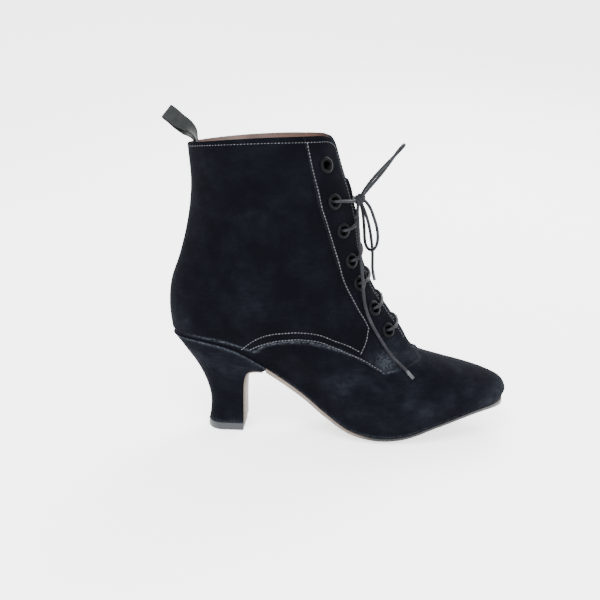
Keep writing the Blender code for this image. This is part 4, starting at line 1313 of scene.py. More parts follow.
def under_run(side, start, low_rise, end, high_rise, stagger):
    """One run: up through an eyelet, over its rim and the gap, then under the other facing to its hole."""
    def rise_at(across):
        return low_rise + (start - across) / (start + end) * (high_rise - low_rise)

    edge = float(half_gap(rise_at(0.0)))
    rows = (
        (start + 0.0002, -0.0036),
        (start, -0.0006),
        (start - 0.0006, FACE + 0.0012),
        (start - 0.0026, FACE + 0.0026),
        (start - 0.0052, FACE + 0.0024),
        (edge + 0.0016, FACE + 0.0015),
        (0.35 * edge, 0.0013 + stagger),
        (-0.45 * edge, 0.0001 + stagger),
        (-(edge + 0.0004), -0.0026),
        (-(edge + 0.0034), -0.0031),
        (-(end - 0.0030), -0.0031),
        (-(end - 0.0004), -0.0032),
    )
    return [throat_point(side, across, rise_at(across), lift) for across, lift in rows]


def joined(name, parts):
    deselect_all()
    for part in parts:
        part.select_set(True)
    bpy.context.view_layer.objects.active = parts[0]
    if len(parts) > 1:
        bpy.ops.object.join()
    parts[0].name = name
    return parts[0]


class BOOT_OT_lacing(bpy.types.Operator):
    """Add the runs of the lace through the eyelets, and the knot"""

    bl_idname = "boot.lacing"
    bl_label = "Lacing"

    def execute(self, context):
        radius = look().lace_diameter / 2
        cord = cord_material("lace_runs")
        for low in range(6, 1, -1):
            parts = []
            for side, stagger in ((LATERAL, 0.0008), (MEDIAL, -0.0010)):
                start, low_rise = eyelet_place(side, low)
                end, high_rise = eyelet_place(-side, low - 1)
                route = under_run(side, start, low_rise, end, high_rise, stagger)
                line = soften(even_line(route, 0.0010)[0], 4)
                parts.append(make_tube("lace_run", line, radius))
            name = f"lace_crossing_{low + 1}"
            dress(joined(name + "_runs", parts), [cord], [name])
        self.add_top(cord, radius)
        self.add_bar(cord, radius)
        self.add_knot(cord, radius)
        return {"FINISHED"}

    def add_top(self, cord, radius):
        parts = []
        for side in (LATERAL, MEDIAL):
            start, rise = eyelet_place(side, 1)
            edge = float(half_gap(rise))
            rows = (
                (start + 0.0002, -0.0036),
                (start, -0.0006),
                (start - 0.0006, FACE + 0.0012),
                (start - 0.0026, FACE + 0.0026),
                (start - 0.0052, FACE + 0.0025),
                (edge + 0.0010, FACE + 0.0018),
            )
            route = [throat_point(side, across, rise, lift) for across, lift in rows]
            route.append(np.array(KNOT_BACK) + (0.0, side * 0.0030, -0.0002))
            route.append(np.array(KNOT_CENTRE) + (-0.0010, side * 0.0010, 0.0))
            line = soften(even_line(route, 0.0010)[0], 4)
            parts.append(make_tube("lace_run", line, radius))
        dress(joined("lace_top_runs", parts), [cord], ["lace_top"])

    def add_bar(self, cord, radius):
        route = []
        places = {side: eyelet_place(side, 6) for _, side in SIDES}
        for side, shares in ((LATERAL, (1.0, 0.7, 0.35)), (MEDIAL, (0.0, 0.35, 0.7, 1.0))):
            start, rise = places[side]
            for share in shares:
                lift = -0.0031 + 0.0016 * (1 - share) ** 2
                route.append(throat_point(side, max(start * share, 1e-5), rise, lift))
        line = even_line(route, 0.0012)[0]
        dress(make_tube("lace_bar_run", line, radius), [cord], ["lace_bar"])

    def add_knot(self, cord, radius):
        """Turns of cord wrapped round the bow's middle, and the doubled cord that they hold."""
        axis = np.array(KNOT_AXIS) / np.linalg.norm(KNOT_AXIS)
        level = np.cross(axis, (0.0, 1.0, 0.0))
        level = level / np.linalg.norm(level)
        upright = np.cross(axis, level)
        centre = np.array(KNOT_CENTRE)
        rows = []
        for turn in np.linspace(-0.6, 2 * math.pi * KNOT_TURNS, 90):
            share = turn / (2 * math.pi * KNOT_TURNS)
            swell = KNOT_WRAP * (1.0 + 0.12 * math.sin(math.pi * share))
            round_part = level * math.cos(turn) + upright * math.sin(turn) * 1.15
            rows.append(centre + axis * (share - 0.5) * KNOT_REACH + round_part * swell)
        parts = [make_tube("knot_turn", np.array(rows), radius)]
        for lean, swell in ((1.0, 1.0), (-1.0, 1.0)):
            ends = ((-1.25, 0.9), (-0.8, 0.5), (0.0, -0.2), (0.8, -0.4), (1.3, -0.7))
            strand = [
                centre + axis * run * KNOT_REACH * 0.62 + (level * drop + upright * 0.7) * lean * radius
                for run, drop in ends
            ]
            parts.append(make_tube("knot_strand", even_line(strand, 0.0010)[0], radius * swell))
        dress(joined("lace_knot_turns", parts), [cord], ["lace_knot"])


# Upper


def crease_relief(side, places):
    """Height change of the listed creases at points of one side."""
    flat = places[..., [0, 2]]
    total = np.zeros(flat.shape[:-1])
    for crease_side, depth, width, run in CREASES:
        if crease_side != side:
            continue
        line = side_curve(run)(np.linspace(0, 1, 25))
        gaps = np.linalg.norm(flat[..., None, :] - line, axis=-1)
        nearest = gaps.argmin(axis=-1)
        gap = gaps.min(axis=-1) / width
        fade = np.sin(math.pi * (0.12 + 0.76 * nearest / 24))
        total += depth * fade * (0.55 * np.exp(-((gap - 1.7) ** 2) * 1.4) - np.exp(-(gap**2)))
    return total


def brushed_mask(side, places):
    total = np.zeros(places.shape[:-1])
    for mark_side, x, z, radius, strength in BRUSHED:
        if mark_side == side:
            gap = np.hypot(places[..., 0] - x, places[..., 2] - z) / radius
            total = np.maximum(total, strength * np.exp(-(gap**2)))
    return total


def column_shares(edge):
    back = edge * np.linspace(0, 1, BACK_COLUMNS + 1)
    front = edge + (1 - edge) * np.linspace(0, 1, FRONT_COLUMNS + 1)
    front[0] = edge + STEP_SHARE
    return np.concatenate([back, front])


def upper_rows(side):
    """Angle, rise and step height for the rows of one side."""
    lowest = column_shares(float(facing_angle(side, 0.0)) / math.pi)
    low = edge_rise[side](lowest)[..., 0]
    vamp_ups = np.concatenate([np.linspace(0, 0.97, VAMP_ROWS - 2), [0.985, 1.0]])
    first = len(STEP_ROWS)
    quarter_ups = np.concatenate([STEP_ROWS, np.linspace(FIRST_PLAIN_ROW, 1.0, QUARTER_ROWS - first)])
    rows = []
    for up in vamp_ups:
        rows.append((lowest * math.pi, low * up, np.zeros_like(low)))
    step = np.full_like(lowest, QUARTER_STEP)
    step[BACK_COLUMNS + 1:] += FACING_STEP
    for up in quarter_ups:
        level = low[BACK_COLUMNS] + up * (1 - low[BACK_COLUMNS])
        rises = level + (low - low[BACK_COLUMNS]) * (1 - up) ** EDGE_FADE
        edge = float(facing_angle(side, rises[BACK_COLUMNS])) / math.pi
        shares = column_shares(edge)
        past = np.clip((shares - edge) / (1 - edge), 0.0, 1.0)
        short = math.pi - float(end_angle(side, rises[-1]))
        rows.append((shares * math.pi - short * past, rises, step))
    return [np.array(part) for part in zip(*rows)]


def run_from(points, axis, start):
    """Distance along a grid's lines from one row or column."""
    steps = np.linalg.norm(np.diff(points, axis=axis), axis=-1)
    total = np.concatenate([np.zeros_like(np.take(steps, [0], axis)), np.cumsum(steps, axis)], axis)
    return np.abs(total - np.take(total, [start], axis))


def upper_side(side):
    """Outer points, brushed mask and worn mask of one side, back seam first."""
    angle, rise, step = upper_rows(side)
    base = upper_base(side, angle, rise)
    above_edge = run_from(base, 0, VAMP_ROWS - 1)
    from_collar = run_from(base, 0, len(base) - 1)
    from_sole = run_from(base, 0, 0)
    from_facing = run_from(base, 1, BACK_COLUMNS)
    from_front = run_from(base, 1, base.shape[1] - 1)
    quarter = np.zeros(base.shape[:2])
    quarter[VAMP_ROWS:] = 1.0
    fold = quarter * 0.00022 * np.exp(-((above_edge / 0.0014) ** 2))
    on_facing = np.zeros_like(quarter)
    on_facing[VAMP_ROWS:, BACK_COLUMNS + 1:] = 1.0
    fold += on_facing * 0.00018 * np.exp(-((from_facing / 0.0012) ** 2))
    edge = 0.0010
    rolled = np.clip(1 - from_collar / edge, 0, 1)
    roll = edge * 0.6 * (1 - np.sqrt(1 - rolled**2))
    front_rolled = quarter * np.clip(1 - from_front / edge, 0, 1)
    roll = np.maximum(roll, edge * 0.6 * (1 - np.sqrt(1 - front_rolled**2)))
    seam_groove = 0.0004 * np.exp(-((run_from(base, 1, 0) / 0.0011) ** 2)) * (above_edge * quarter > 0)
    relief = crease_relief(side, base)
    points = upper_surface(side, angle, rise, step + fold + relief - roll - seam_groove)
    wear = 0.90 * np.exp(-((above_edge / 0.0011) ** 2)) * ease((angle / math.pi - 0.10) / 0.15)
    wear = wear * (1 - 0.75 * ease((base[..., 0] - 0.122) / 0.008))
    on_waist = ease((base[..., 0] - 0.030) / 0.010)
    wear = np.maximum(wear, 0.45 * on_waist * np.exp(-((from_sole / 0.0011) ** 2)))
    wear = np.maximum(wear, 0.35 * on_facing * np.exp(-((from_front / 0.0012) ** 2)))
    wear = np.maximum(wear, 0.22 * on_facing * np.exp(-((from_facing / 0.0009) ** 2)))
    corner = np.hypot(base[..., 0] - 0.1175, base[..., 2] - 0.0600)
    wear = np.maximum(wear, 0.62 * on_facing * np.exp(-((corner / 0.0062) ** 2)))
    vamp_tone = 0.16 * (1 - quarter) * ease((base[..., 0] - 0.05) / 0.05)
    throat_tone = 0.30 * quarter * ease((base[..., 0] - 0.098) / 0.02) * ease((0.090 - base[..., 2]) / 0.02)
    brush = np.maximum(brushed_mask(side, base), np.maximum(vamp_tone, throat_tone))
    under = relief + QUARTER_STEP * quarter * ease(above_edge / LINING_RAMP) - WALL
    lining = upper_surface(side, angle, rise, under)
    return points, np.clip(brush, 0, 1), np.clip(wear, 0, 1), lining


def cut_eyelet_holes(item):
    """Deletes the faces inside each eyelet's barrel."""
    centres = [eyelet_frame(side, x, z)[0] for _, side in SIDES for x, z in EYELETS]
    edit_begin(item, "DESELECT")
    bpy.ops.mesh.select_mode(type="FACE")
    edit_end()
    places = np.zeros(len(item.data.polygons) * 3)
    item.data.polygons.foreach_get("center", places)
    places = places.reshape(-1, 3)
    inside = np.zeros(len(places), bool)
    for centre in centres:
        inside |= np.linalg.norm(places - centre, axis=1) < EYELET_CUT
    item.data.polygons.foreach_set("select", inside)
    bpy.ops.object.mode_set(mode="EDIT")
    bpy.ops.mesh.delete(type="FACE")
    edit_end()


def eyelet_frame(side, x, z):
    """Centre on the facing's face, and the outward axis with two directions across it."""
    angle, rise = locate(side, x, z)
    axis = upper_normal(side, angle, rise)
    centre = upper_base(side, angle, rise) + axis * FACE
    level = np.cross(axis, (0.0, 0.0, 1.0))
    level = level / np.linalg.norm(level)
    return centre, axis, level, np.cross(axis, level)


class BOOT_OT_upper(bpy.types.Operator):
    """Add the velvet upper with its stepped panels, creases, worn edges and lining"""

    bl_idname = "boot.upper"
    bl_label = "Upper"

    def execute(self, context):
        sides = zip(upper_side(LATERAL), upper_side(MEDIAL))
        both = [np.concatenate([near[:, ::-1], far[:, 1:]], axis=1) for near, far in sides]
        points, brush, wear, lining = both
        item = placed_grid("velvet_upper", points)
        point_mask(item, "brush", brush)
        point_mask(item, "wear", wear)
        inner = item.data.attributes.new("lining", "FLOAT_VECTOR", "POINT")
        inner.data.foreach_set("vector", lining.ravel())
        merge_and_turn_out(item, 2e-5)
        self.face_outwards(item)
        cut_eyelet_holes(item)
        item.data.materials.append(velvet_material("velvet", 0.30, 0.012, True))
        item.data.materials.append(lining_material())
        wall = item.modifiers.new("wall", "SOLIDIFY")
        wall.thickness = WALL
        wall.offset = -1.0
        wall.material_offset = 1
        wall.material_offset_rim = 0
        apply_modifiers(item)
        self.settle_lining(item)
        dress(item, None, ["upper"], 50.0)
        return {"FINISHED"}

    def settle_lining(self, item):
        """Puts the lining's points on the wall's smooth inner face, under the steps of the panels."""
        mesh = item.data
        places = np.zeros(len(mesh.vertices) * 3)
        inner = np.zeros(len(mesh.vertices) * 3)
        mesh.vertices.foreach_get("co", places)
        mesh.attributes["lining"].data.foreach_get("vector", inner)
        lining_faces = [face for face in mesh.polygons if face.material_index == 1]
        lined = sorted({corner for face in lining_faces for corner in face.vertices})
        places.reshape(-1, 3)[lined] = inner.reshape(-1, 3)[lined]
        mesh.vertices.foreach_set("co", places)
        mesh.attributes.remove(mesh.attributes["lining"])
        mesh.update()

    def face_outwards(self, item):
        """Turns the open shell over if its faces look into the boot."""
        sample = item.data.polygons[len(item.data.polygons) // 3]
        centre = Vector((0.04, 0.0, sample.center.z))
        if (sample.center - centre).dot(sample.normal) < 0:
            edit_begin(item)
            bpy.ops.mesh.flip_normals()
            edit_end()


class BOOT_OT_tongue(bpy.types.Operator):
    """Add the soft tongue behind the facings"""

    bl_idname = "boot.tongue"
    bl_label = "Tongue"

    def slump(self, height, across):
        """How far the tongue's slumped fold stands out between the facings, above the knot."""
        top = ease((SLUMP_TOP - height) / SLUMP_TOP_RUN)
        foot = ease((height - SLUMP_FOOT) / SLUMP_FOOT_RUN)
        return float(SLUMP_OUT * top * foot * math.exp(-((across / SLUMP_HALF) ** 4)))

    def execute(self, context):
        across = np.linspace(-1.0, 1.0, 57)
        rises = np.linspace(TONGUE_LOW, TONGUE_HIGH, 170)
        rows = []
        for rise in rises:
            points = []
            for place in across:
                side = LATERAL if place < 0 else MEDIAL
                edge = angle_at_half_width(side, np.asarray(TONGUE_HALF), np.asarray(rise))
                angle = math.pi - (math.pi - edge) * abs(place)
                tuck = TONGUE_TUCK * ease((abs(place) - 0.30) / 0.25)
                fold = 0.00035 * math.sin(rise * 61.0 + place * 2.0) * math.exp(-((place / 0.5) ** 2))
                slump = self.slump(float(front_curve(rise)[1]), place * TONGUE_HALF)
                points.append(upper_surface(side, angle, rise, slump + fold - TONGUE_DEPTH - tuck))
            rows.append(points)
        item = placed_grid("soft_tongue", np.array(rows))
        wall = item.modifiers.new("wall", "SOLIDIFY")
        wall.thickness = TONGUE_THICKNESS
        wall.offset = -1.0
        round_edge = item.modifiers.new("round edge", "BEVEL")
        round_edge.width = 0.0005
        round_edge.segments = 2
        round_edge.angle_limit = math.radians(60)
        edit_begin(item)
        bpy.ops.mesh.normals_make_consistent(inside=False)
        edit_end()
        middle = item.data.polygons[len(item.data.polygons) // 2]
        if middle.normal.x < 0:
            edit_begin(item)
            bpy.ops.mesh.flip_normals()
            edit_end()
        apply_modifiers(item)
        dress(item, [velvet_material("tongue_velvet", 0.25, 0.010, False)], ["tongue"])
        return {"FINISHED"}


# Stitches


def row_on_upper(side, route):
    """Angle and rise along a stitched row given in the side view."""
    places = np.array([locate(side, x, z) for x, z in route])
    places[:, 1] = np.minimum(places[:, 1], ROW_TOP)
    return places


def edge_row(side):
    """Row of stitches along the collar, round its corner and down the facing's front edge."""
    inset = EDGE_ROW_INSET / (COLLAR_HEIGHT - INSTEP_HEIGHT)
    turn = np.linspace(math.pi / 2, 0.0, 14)
    corner_rise = 1 - CORNER_RISE + (CORNER_RISE - inset) * np.sin(turn)
    reach = CORNER_BACK - (CORNER_BACK - EDGE_ROW_INSET) * np.cos(turn)
    corner_half = float(facing_gap_table(1.0)[0]) + reach
    corner = angle_at_half_width(side, corner_half, corner_rise)
    collar = np.linspace(0.03 * math.pi, float(corner[0]) - 0.02, 40)
    rises = np.linspace(1 - CORNER_RISE - 0.006, THROAT_RISE + 0.035, 60)
    front = angle_at_half_width(side, half_gap(rises) + EDGE_ROW_INSET, rises)
    return np.vstack([
        np.column_stack([collar, np.full(40, 1 - inset)]),
        np.column_stack([corner, corner_rise]),
        np.column_stack([front, rises]),
    ])


def replicate(name, template, frames):
    """The template's copies, one at each frame of centre, run, side and height, joined to one piece."""
    parts = []
    for centre, run, across, height in frames:
        part = template.copy()
        part.data = template.data.copy()
        bpy.context.scene.collection.objects.link(part)
        turn = Matrix((run, across, height)).transposed().to_4x4()
        part.data.transform(Matrix.Translation(centre) @ turn)
        parts.append(part)
    bpy.data.objects.remove(template)
    return joined(name, parts)


def small_bead(name, length, width, height):
    """A rounded bead from a sphere primitive, stretched to a stitch's size."""
    deselect_all()
    bpy.ops.mesh.primitive_uv_sphere_add(segments=8, ring_count=5, radius=0.5)
    bead = bpy.context.object
    bead.name = name
    edit_begin(bead)
    bpy.ops.transform.rotate(value=math.pi / 2, orient_axis="Y", center_override=(0.0, 0.0, 0.0))
    bpy.ops.transform.resize(value=(length, width, height), center_override=(0.0, 0.0, 0.0))
    edit_end()
    return bead


class BOOT_OT_stitches(bpy.types.Operator):
    """Add the stitched rows of both sides, with a dark bead of painted shade at each needle hole"""

    bl_idname = "boot.stitches"
    bl_label = "Stitches"

    def execute(self, context):
        pitch = look().stitch_pitch
        width = look().stitch_width
        stitches = []
        hole_shades = []
        for _, side in SIDES:
            rows = (
                (row_on_upper(side, FACING_ROW), FACE, 0.60, 1.22),
                (row_on_upper(side, QUARTER_ROW_HIGH), QUARTER_STEP, 0.58, 1.0),
                (row_on_upper(side, QUARTER_ROW_LOW), QUARTER_STEP + 0.00015, 0.58, 1.0),
                (edge_row(side), QUARTER_STEP, 0.56, 0.72),
            )
            for row, offset, reach, thick in rows:
                self.sew(side, row, offset, pitch, pitch * reach, width * thick, stitches, hole_shades)
        thread = replicate("stitches", small_bead("stitch", 1.0, 1.0, 1.0), stitches)
        dress(thread, [thread_material()], degrees=60.0)
        shade_beads = replicate("needle_pits", small_bead("hole_shade_bead", 1.0, 1.0, 1.0), hole_shades)
        dress(shade_beads, [needle_hole_shade_material()], degrees=60.0)
        return {"FINISHED"}

    def sew(self, side, row, offset, pitch, length, width, stitches, hole_shades):
        fine = smooth_table(chord_shares(upper_base(side, row[:, 0], row[:, 1])), row, level=True)
        shares = np.linspace(0, 1, 900)
        turns = fine(shares)
        angle, rise = turns[:, 0], turns[:, 1]
        on_facing = (angle > facing_angle(side, rise)) & (rise > edge_rise[side](angle / math.pi)[:, 0])
        lift = np.where(on_facing & (offset < FACE), FACE, offset)
        line = upper_surface(side, angle, rise, lift)
        normals = upper_normal(side, angle, rise)
        run = np.concatenate([[0.0], np.cumsum(np.linalg.norm(np.diff(line, axis=0), axis=1))])
        count = int(run[-1] / pitch)
        for number in range(count):
            at = (number + 0.5) * pitch
            centre = self.read_at(at, run, line)
            ends = [self.read_at(at + half, run, line) for half in (-length / 2, length / 2)]
            normal = self.read_at(at, run, normals)
            ahead = ends[1] - ends[0]
            ahead = ahead / np.linalg.norm(ahead)
            across = np.cross(normal, ahead)
            slant = ahead + across * 0.10
            slant = slant / np.linalg.norm(slant)
            across = np.cross(normal, slant)
            size = width * (1.0 + 0.16 * math.sin(number * 2.399))
            raised = centre + normal * width * 0.18
            stitches.append((raised, slant * length, across * size, normal * width * 0.85))
            # A flat dark bead at the needle hole after each stitch: painted shade of the hole
            hole = ends[1] + ahead * (pitch - length) / 2
            hole_shades.append((hole, ahead * width * 1.2, across * width * 1.5, normal * width * 0.5))

    def read_at(self, place, run, values):
        """The line's values at a distance along it."""
        return np.array([np.interp(place, run, values[:, axis]) for axis in range(3)])


# Eyelets


class BOOT_OT_eyelets(bpy.types.Operator):
    """Add the rolled metal eyelets, each a spun profile"""

    bl_idname = "boot.eyelets"
    bl_label = "Eyelets"

    def execute(self, context):
        metal = metal_material()
        model = self.spun_model()
        for side_name, side in SIDES:
            for number, (x, z) in enumerate(EYELETS, start=1):
                centre, axis, level, upright = eyelet_frame(side, x, z)
                item = model.copy()
                item.data = model.data.copy()
                bpy.context.scene.collection.objects.link(item)
                name = f"eyelet_{side_name}_{number}"
                item.name = name + "_rolled"
                item.data.transform(Matrix((level, upright, axis)).transposed().to_4x4())
                item.data.transform(Matrix.Translation(centre))
                dress(item, [metal], [name], 35.0)
        bpy.data.objects.remove(model)
        return {"FINISHED"}

    def spun_model(self):
        """A profile of radius and height, spun round the Z axis."""
        depth = FACE + WALL
        profile = (
            (EYELET_HOLE + 0.0003, -depth),
            (EYELET_HOLE, -depth + 0.0004),
            (EYELET_HOLE - 0.0001, 0.0002),
            (EYELET_HOLE, 0.0007),
            (EYELET_HOLE + 0.0003, 0.0011),
            (EYELET_HOLE + 0.0008, 0.00135),
            (EYELET_HOLE + 0.0014, 0.00125),
            (EYELET_FLANGE - 0.0006, 0.0009),
            (EYELET_FLANGE - 0.0001, 0.0005),
            (EYELET_FLANGE, 0.0001),
            (EYELET_FLANGE - 0.0003, 0.00002),
            (EYELET_HOLE + 0.0007, 0.00002),
            (EYELET_HOLE + 0.0006, -depth),
        )
        deselect_all()
        bpy.ops.mesh.primitive_circle_add(vertices=len(profile), radius=0.001, fill_type="NOTHING")
        model = bpy.context.object
        model.name = "eyelet_model"
        for vertex, (radius, height) in zip(model.data.vertices, profile):
            vertex.co = (radius, 0.0, height)
        edit_begin(model)
        bpy.ops.mesh.spin(steps=40, angle=2 * math.pi, center=(0.0, 0.0, 0.0), axis=(0.0, 0.0, 1.0))
        edit_end()
        merge_and_turn_out(model, 1e-6)
        rim = []
        for vertex in model.data.vertices:
            radius = math.hypot(vertex.co.x, vertex.co.y)
            high = math.exp(-(((radius - EYELET_HOLE - 0.0008) / 0.0007) ** 2))
            rim.append(high * (1.0 if vertex.co.z > 0.0006 else 0.25))
        point_mask(model, "rim", rim)
        return model


# Heel, sole and pull loop


BREAST_ANGLE = float(facing_angle(LATERAL, 0.0)) * 8 / 15
SEAT_ANGLES = np.linspace(0.0, BREAST_ANGLE, 33)


def rim_direction(side, angle):
    """Level outward direction of the upper's lower rim."""
    normal = upper_normal(side, angle, 0.0)
    normal[..., 2] = 0.0
    return normal / np.linalg.norm(normal, axis=-1, keepdims=True)


def heel_outline(back, front, width):
    """Loop of points round the heel at one height, from the lateral breast corner to the medial one."""
    loops = []
    for _, side in SIDES:
        rim = upper_base(side, SEAT_ANGLES, 0.0)
        shares = (rim[:, 0] - rim[0, 0]) / (rim[-1, 0] - rim[0, 0])
        x = back[0] + (front[0] - back[0]) * shares
        z = back[1] + (front[1] - back[1]) * shares
        loops.append(np.column_stack([x, rim[:, 1] * width, z]))
    return np.vstack([loops[0][::-1], loops[1][1:]])


def with_front(loop, count=7):
    """The loop with points along its straight front from the medial corner back to the lateral one."""
    shares = np.linspace(0, 1, count + 2)[1:-1, None]
    return np.vstack([loop, loop[-1] + (loop[0] - loop[-1]) * shares])


def seat_loop():
    tops = []
    for _, side in SIDES:
        rim = upper_base(side, SEAT_ANGLES, 0.0) + rim_direction(side, SEAT_ANGLES) * QUARTER_STEP
        tops.append(rim - np.array([0.0, 0.0, CLEARANCE]))
    return np.vstack([tops[0][::-1], tops[1][1:]])


class BOOT_OT_heel(bpy.types.Operator):
    """Add the covered heel, the leather down its front and the lift under it"""

    bl_idname = "boot.heel"
    bl_label = "Heel"

    def execute(self, context):
        self.add_block()
        self.add_breast()
        self.add_lift()
        return {"FINISHED"}

    def add_block(self):
        table = smooth_table(chord_shares([row[:2] for row in HEEL_LOOPS]), HEEL_LOOPS)
        loops = [with_front(heel_outline(row[:2], row[2:4], row[4])) for row in table(np.linspace(0, 1, 46))]
        last = loops[-1]
        seat = with_front(seat_loop())
        loops += [last + (seat - last) * share for share in (0.25, 0.5, 0.75, 1.0)]
        rings = np.array(loops)
        item = lofted("velvet_heel", rings)
        height = rings[..., 2]
        from_seat = run_from(rings, 0, len(rings) - 1)
        wear = 0.75 * np.exp(-((from_seat / 0.0013) ** 2))
        wear = np.maximum(wear, 0.40 * np.exp(-(((height - 0.0058) / 0.0014) ** 2)))
        brush = 0.34 * np.exp(-(((height - 0.052) / 0.016) ** 2)) + 0.10
        for name, values in (("wear", wear), ("brush", brush)):
            ring = np.concatenate([values, values[:, :1]], axis=1)
            point_mask(item, name, np.concatenate([ring[:1], ring, ring[-1:]]))
        merge_and_turn_out(item)
        dress(item, [velvet_material("heel_velvet", 0.28, 0.012, True)], ["heel"], 45.0)

    def add_breast(self):
        table = smooth_table(chord_shares([row[2:4] for row in HEEL_LOOPS]), HEEL_LOOPS)
        rows = table(np.linspace(0, 1, 46))
        run = rows[:, 2:4]
        ahead = np.gradient(run, axis=0)
        ahead = ahead / np.linalg.norm(ahead, axis=1, keepdims=True)
        half_top = {side: abs(upper_base(side, BREAST_ANGLE, 0.0)[1]) for _, side in SIDES}
        corner = 0.0004
        section = []
        for side in (LATERAL, MEDIAL):
            corners = ((0.0, CLEARANCE), (0.0, BREAST_THICKNESS), (corner, CLEARANCE + BREAST_THICKNESS))
            for inward, lift in corners:
                section.append((side, inward, lift))
        section = section[:3] + section[:2:-1]
        rings = []
        for here, direction, width in zip(run, ahead, rows[:, 4]):
            out = np.array([direction[1], -direction[0]])
            ring = []
            for side, inward, lift in section:
                y = side * (half_top[side] * width - BREAST_MARGIN - inward)
                place = here + out * lift
                ring.append((place[0], y, place[1]))
            rings.append(ring)
        item = lofted("leather_breast", np.array(rings))
        merge_and_turn_out(item)
        worn = tuple(value * 0.40 for value in look().leather_colour)
        dress(item, [leather_material("breast_leather", look().leather_colour, worn, 0.8)],
              ["heel_breast"], 40.0)

    def add_lift(self):
        """The D-shaped lift: a filled circle placed on the outline, extruded and softened at its edge."""
        row = HEEL_LOOPS[0]
        back = (row[0] - LIFT_MARGIN, 0.0)
        front = (row[2] + LIFT_MARGIN, 0.0)
        outline = heel_outline(back, front, row[4] * 1.03)
        deselect_all()
        bpy.ops.mesh.primitive_circle_add(vertices=len(outline), radius=0.01, fill_type="NGON")
        item = bpy.context.object
        item.name = "rubber_lift"
        for vertex, place in zip(item.data.vertices, outline):
            vertex.co = place
        edit_begin(item)
        bpy.ops.mesh.extrude_region_move(TRANSFORM_OT_translate={"value": (0.0, 0.0, LIFT_THICKNESS)})
        bpy.ops.mesh.select_all(action="SELECT")
        bpy.ops.mesh.normals_make_consistent(inside=False)
        edit_end()
        soft = item.modifiers.new("soft edge", "BEVEL")
        soft.width = 0.0005
        soft.segments = 3
        soft.angle_limit = math.radians(50)
        apply_modifiers(item)
        rubber = leather_material("lift_rubber", (0.016, 0.018, 0.021), (0.036, 0.036, 0.038), 0.7)
        dress(item, [rubber], ["top_lift"], 40.0)


class BOOT_OT_sole(bpy.types.Operator):
    """Add the thin leather sole with its rounded edge, and finish the sock inside"""

    bl_idname = "boot.sole"
    bl_label = "Sole"

    def execute(self, context):
        crown = 0.0029
        angles = np.concatenate([np.linspace(BREAST_ANGLE, 2.9, 90), np.linspace(2.92, math.pi, 22)])
        near = upper_base(LATERAL, angles, 0.0) + rim_direction(LATERAL, angles) * SOLE_SPREAD
        far = upper_base(MEDIAL, angles, 0.0) + rim_direction(MEDIAL, angles) * SOLE_SPREAD
        for edge in (near, far):
            edge[0] = edge[0] - (edge[1] - edge[0]) * SOLE_TUCK / (edge[1, 0] - edge[0, 0])
        outer = np.array([-1.0, -0.992, -0.975, -0.95, -0.92, -0.88, -0.82])
        across = np.concatenate([outer, np.linspace(-0.74, 0.74, 17), -outer[::-1]])
        share = ((across + 1) / 2)[None, :, None]
        plan = near[:, None] * (1 - share) + far[:, None] * share
        rim = plan[..., 2] - CLEARANCE
        turned = np.clip((np.abs(across) - 0.86) / 0.14, 0.0, 1.0)
        thin = 0.64 * ease((plan[..., 0] - 0.070) / 0.035)
        edge_share = 1.0 - thin * (1 - np.sqrt(1 - turned**2))
        bottom = plan.copy()
        lowered = rim - SOLE_THICKNESS * edge_share - crown * (1 - ease((np.abs(across) - 0.55) / 0.45))
        bottom[..., 2] = np.maximum(lowered, 0.0)
        top = plan.copy()
        top[..., 2] = rim
        rings = np.concatenate([top, bottom[:, ::-1]], axis=1)[:-1]
        item = lofted("leather_sole", rings)
        rim_band = np.concatenate([np.abs(across) > 0.9, np.abs(across) > 0.9])[None]
        dyed = rim_band * ease((rings[..., 0] - 0.085) / 0.030)
        closed = np.concatenate([dyed, dyed[:, :1]], axis=1)
        point_mask(item, "dye", np.concatenate([closed[:1], closed, closed[-1:]]))
        merge_and_turn_out(item)
        dirt = tuple(value * 0.33 for value in look().leather_colour)
        leather = leather_material("sole_leather", look().leather_colour, dirt, 0.75, True)
        dress(item, [leather],
              ["outsole"], 40.0)
        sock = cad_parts["insole"]
        sock.data.materials.clear()
        sock_leather = leather_material("sock_leather", (0.22, 0.12, 0.085), (0.08, 0.045, 0.032), 0.6)
        sock.data.materials.append(sock_leather)
        return {"FINISHED"}


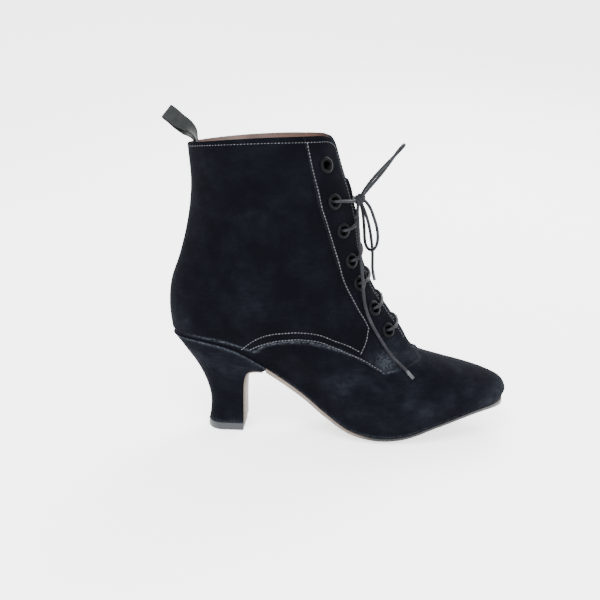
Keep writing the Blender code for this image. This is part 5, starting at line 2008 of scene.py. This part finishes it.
class BOOT_OT_pull_loop(bpy.types.Operator):
    """Add the ribbed ribbon folded into a loop at the back of the collar"""

    bl_idname = "boot.pull_loop"
    bl_label = "Pull loop"

    def execute(self, context):
        rows = [*PULL_LOOP, PULL_END]
        run = np.array([row[:2] for row in rows])
        run[:, 0] -= PULL_LEAN * ease((run[:, 1] - 0.212) / 0.016)
        curve = side_curve(run)
        turns = smooth_table(chord_shares(run), [row[2] for row in rows])
        stations = []
        shares = np.linspace(0.0, 1.0, 44)
        for share in shares:
            here = curve(share)
            ahead = curve(min(share + 0.02, 1.0)) - curve(max(share - 0.02, 0.0))
            stations.append((here, ahead / np.linalg.norm(ahead), math.radians(float(turns(share)[0]))))
        bends = [(station, 0.0) for station in stations]
        bends += [(stations[-1], math.pi * step / 12) for step in range(1, 12)]
        bends += [(station, math.pi) for station in stations[::-1]]
        rings = []
        for (here, ahead, swing), bend in bends:
            forward = np.array([ahead[0], 0.0, ahead[1]])
            flat = np.array([ahead[1], 0.0, -ahead[0]])
            face = flat * math.cos(swing) + np.array([0.0, -1.0, 0.0]) * math.sin(swing)
            wide = np.cross(forward, face)
            out = face * math.cos(bend) + forward * math.sin(bend)
            gap = PULL_FOLD * min(1.0, 0.35 + 0.65 * swing) + 0.0006 * math.sin(min(swing, 1.0) * math.pi)
            middle = np.array([here[0], 0.0, here[1]]) + out * gap
            rings.append(self.section(middle, out, wide))
        item = lofted("ribbon_loop", np.array(rings))
        lengths = np.linalg.norm(np.diff(np.array(rings).mean(axis=1), axis=0), axis=1).sum()
        scale_uv(item, 1.0, float(lengths))
        merge_and_turn_out(item)
        dress(item, [ribbon_material()], ["pull_loop"], 45.0)
        return {"FINISHED"}

    def section(self, middle, out, wide):
        """Flat ribbon section with a thicker woven edge on each side."""
        half = PULL_WIDTH / 2
        thick = PULL_THICKNESS / 2
        profile = ((-1.0, 0.0), (-0.97, 0.8), (-0.90, 1.0), (-0.82, 0.72), (0.0, 0.68), (0.82, 0.72),
                   (0.90, 1.0),
                   (0.97, 0.8), (1.0, 0.0))
        lower = [(place, -height) for place, height in profile[-2:0:-1]]
        return [middle + wide * place * half + out * height * thick for place, height in (*profile, *lower)]


class BOOT_PT_panel(bpy.types.Panel):
    """Lists the boot's colours, sizes and pieces"""

    bl_idname = "BOOT_PT_panel"
    bl_label = "Velvet boot"
    bl_space_type = "VIEW_3D"
    bl_region_type = "UI"
    bl_category = "Boot"

    def draw(self, context):
        for name in BootLook.__annotations__:
            self.layout.prop(context.scene.boot_look, name)
        for operator in PIECES:
            self.layout.operator(operator.bl_idname)


PIECES = (
    BOOT_OT_stage,
    BOOT_OT_free_cords,
    BOOT_OT_lacing,
    BOOT_OT_upper,
    BOOT_OT_tongue,
    BOOT_OT_stitches,
    BOOT_OT_eyelets,
    BOOT_OT_heel,
    BOOT_OT_sole,
    BOOT_OT_pull_loop,
)
CLASSES = (BootLook, *PIECES, BOOT_PT_panel)


def register():
    for item in CLASSES:
        bpy.utils.register_class(item)
    bpy.types.Scene.boot_look = bpy.props.PointerProperty(type=BootLook)


def unregister():
    del bpy.types.Scene.boot_look
    for item in reversed(CLASSES):
        bpy.utils.unregister_class(item)


def main():
    register()
    deselect_all()
    build_pile_group()
    build_braid_group()
    build_scuff_group()
    bpy.ops.boot.stage()
    bpy.ops.boot.free_cords()
    bpy.ops.boot.lacing()
    bpy.ops.boot.upper()
    bpy.ops.boot.tongue()
    bpy.ops.boot.stitches()
    bpy.ops.boot.eyelets()
    bpy.ops.boot.heel()
    bpy.ops.boot.sole()
    bpy.ops.boot.pull_loop()


if __name__ == "__main__":
    main()
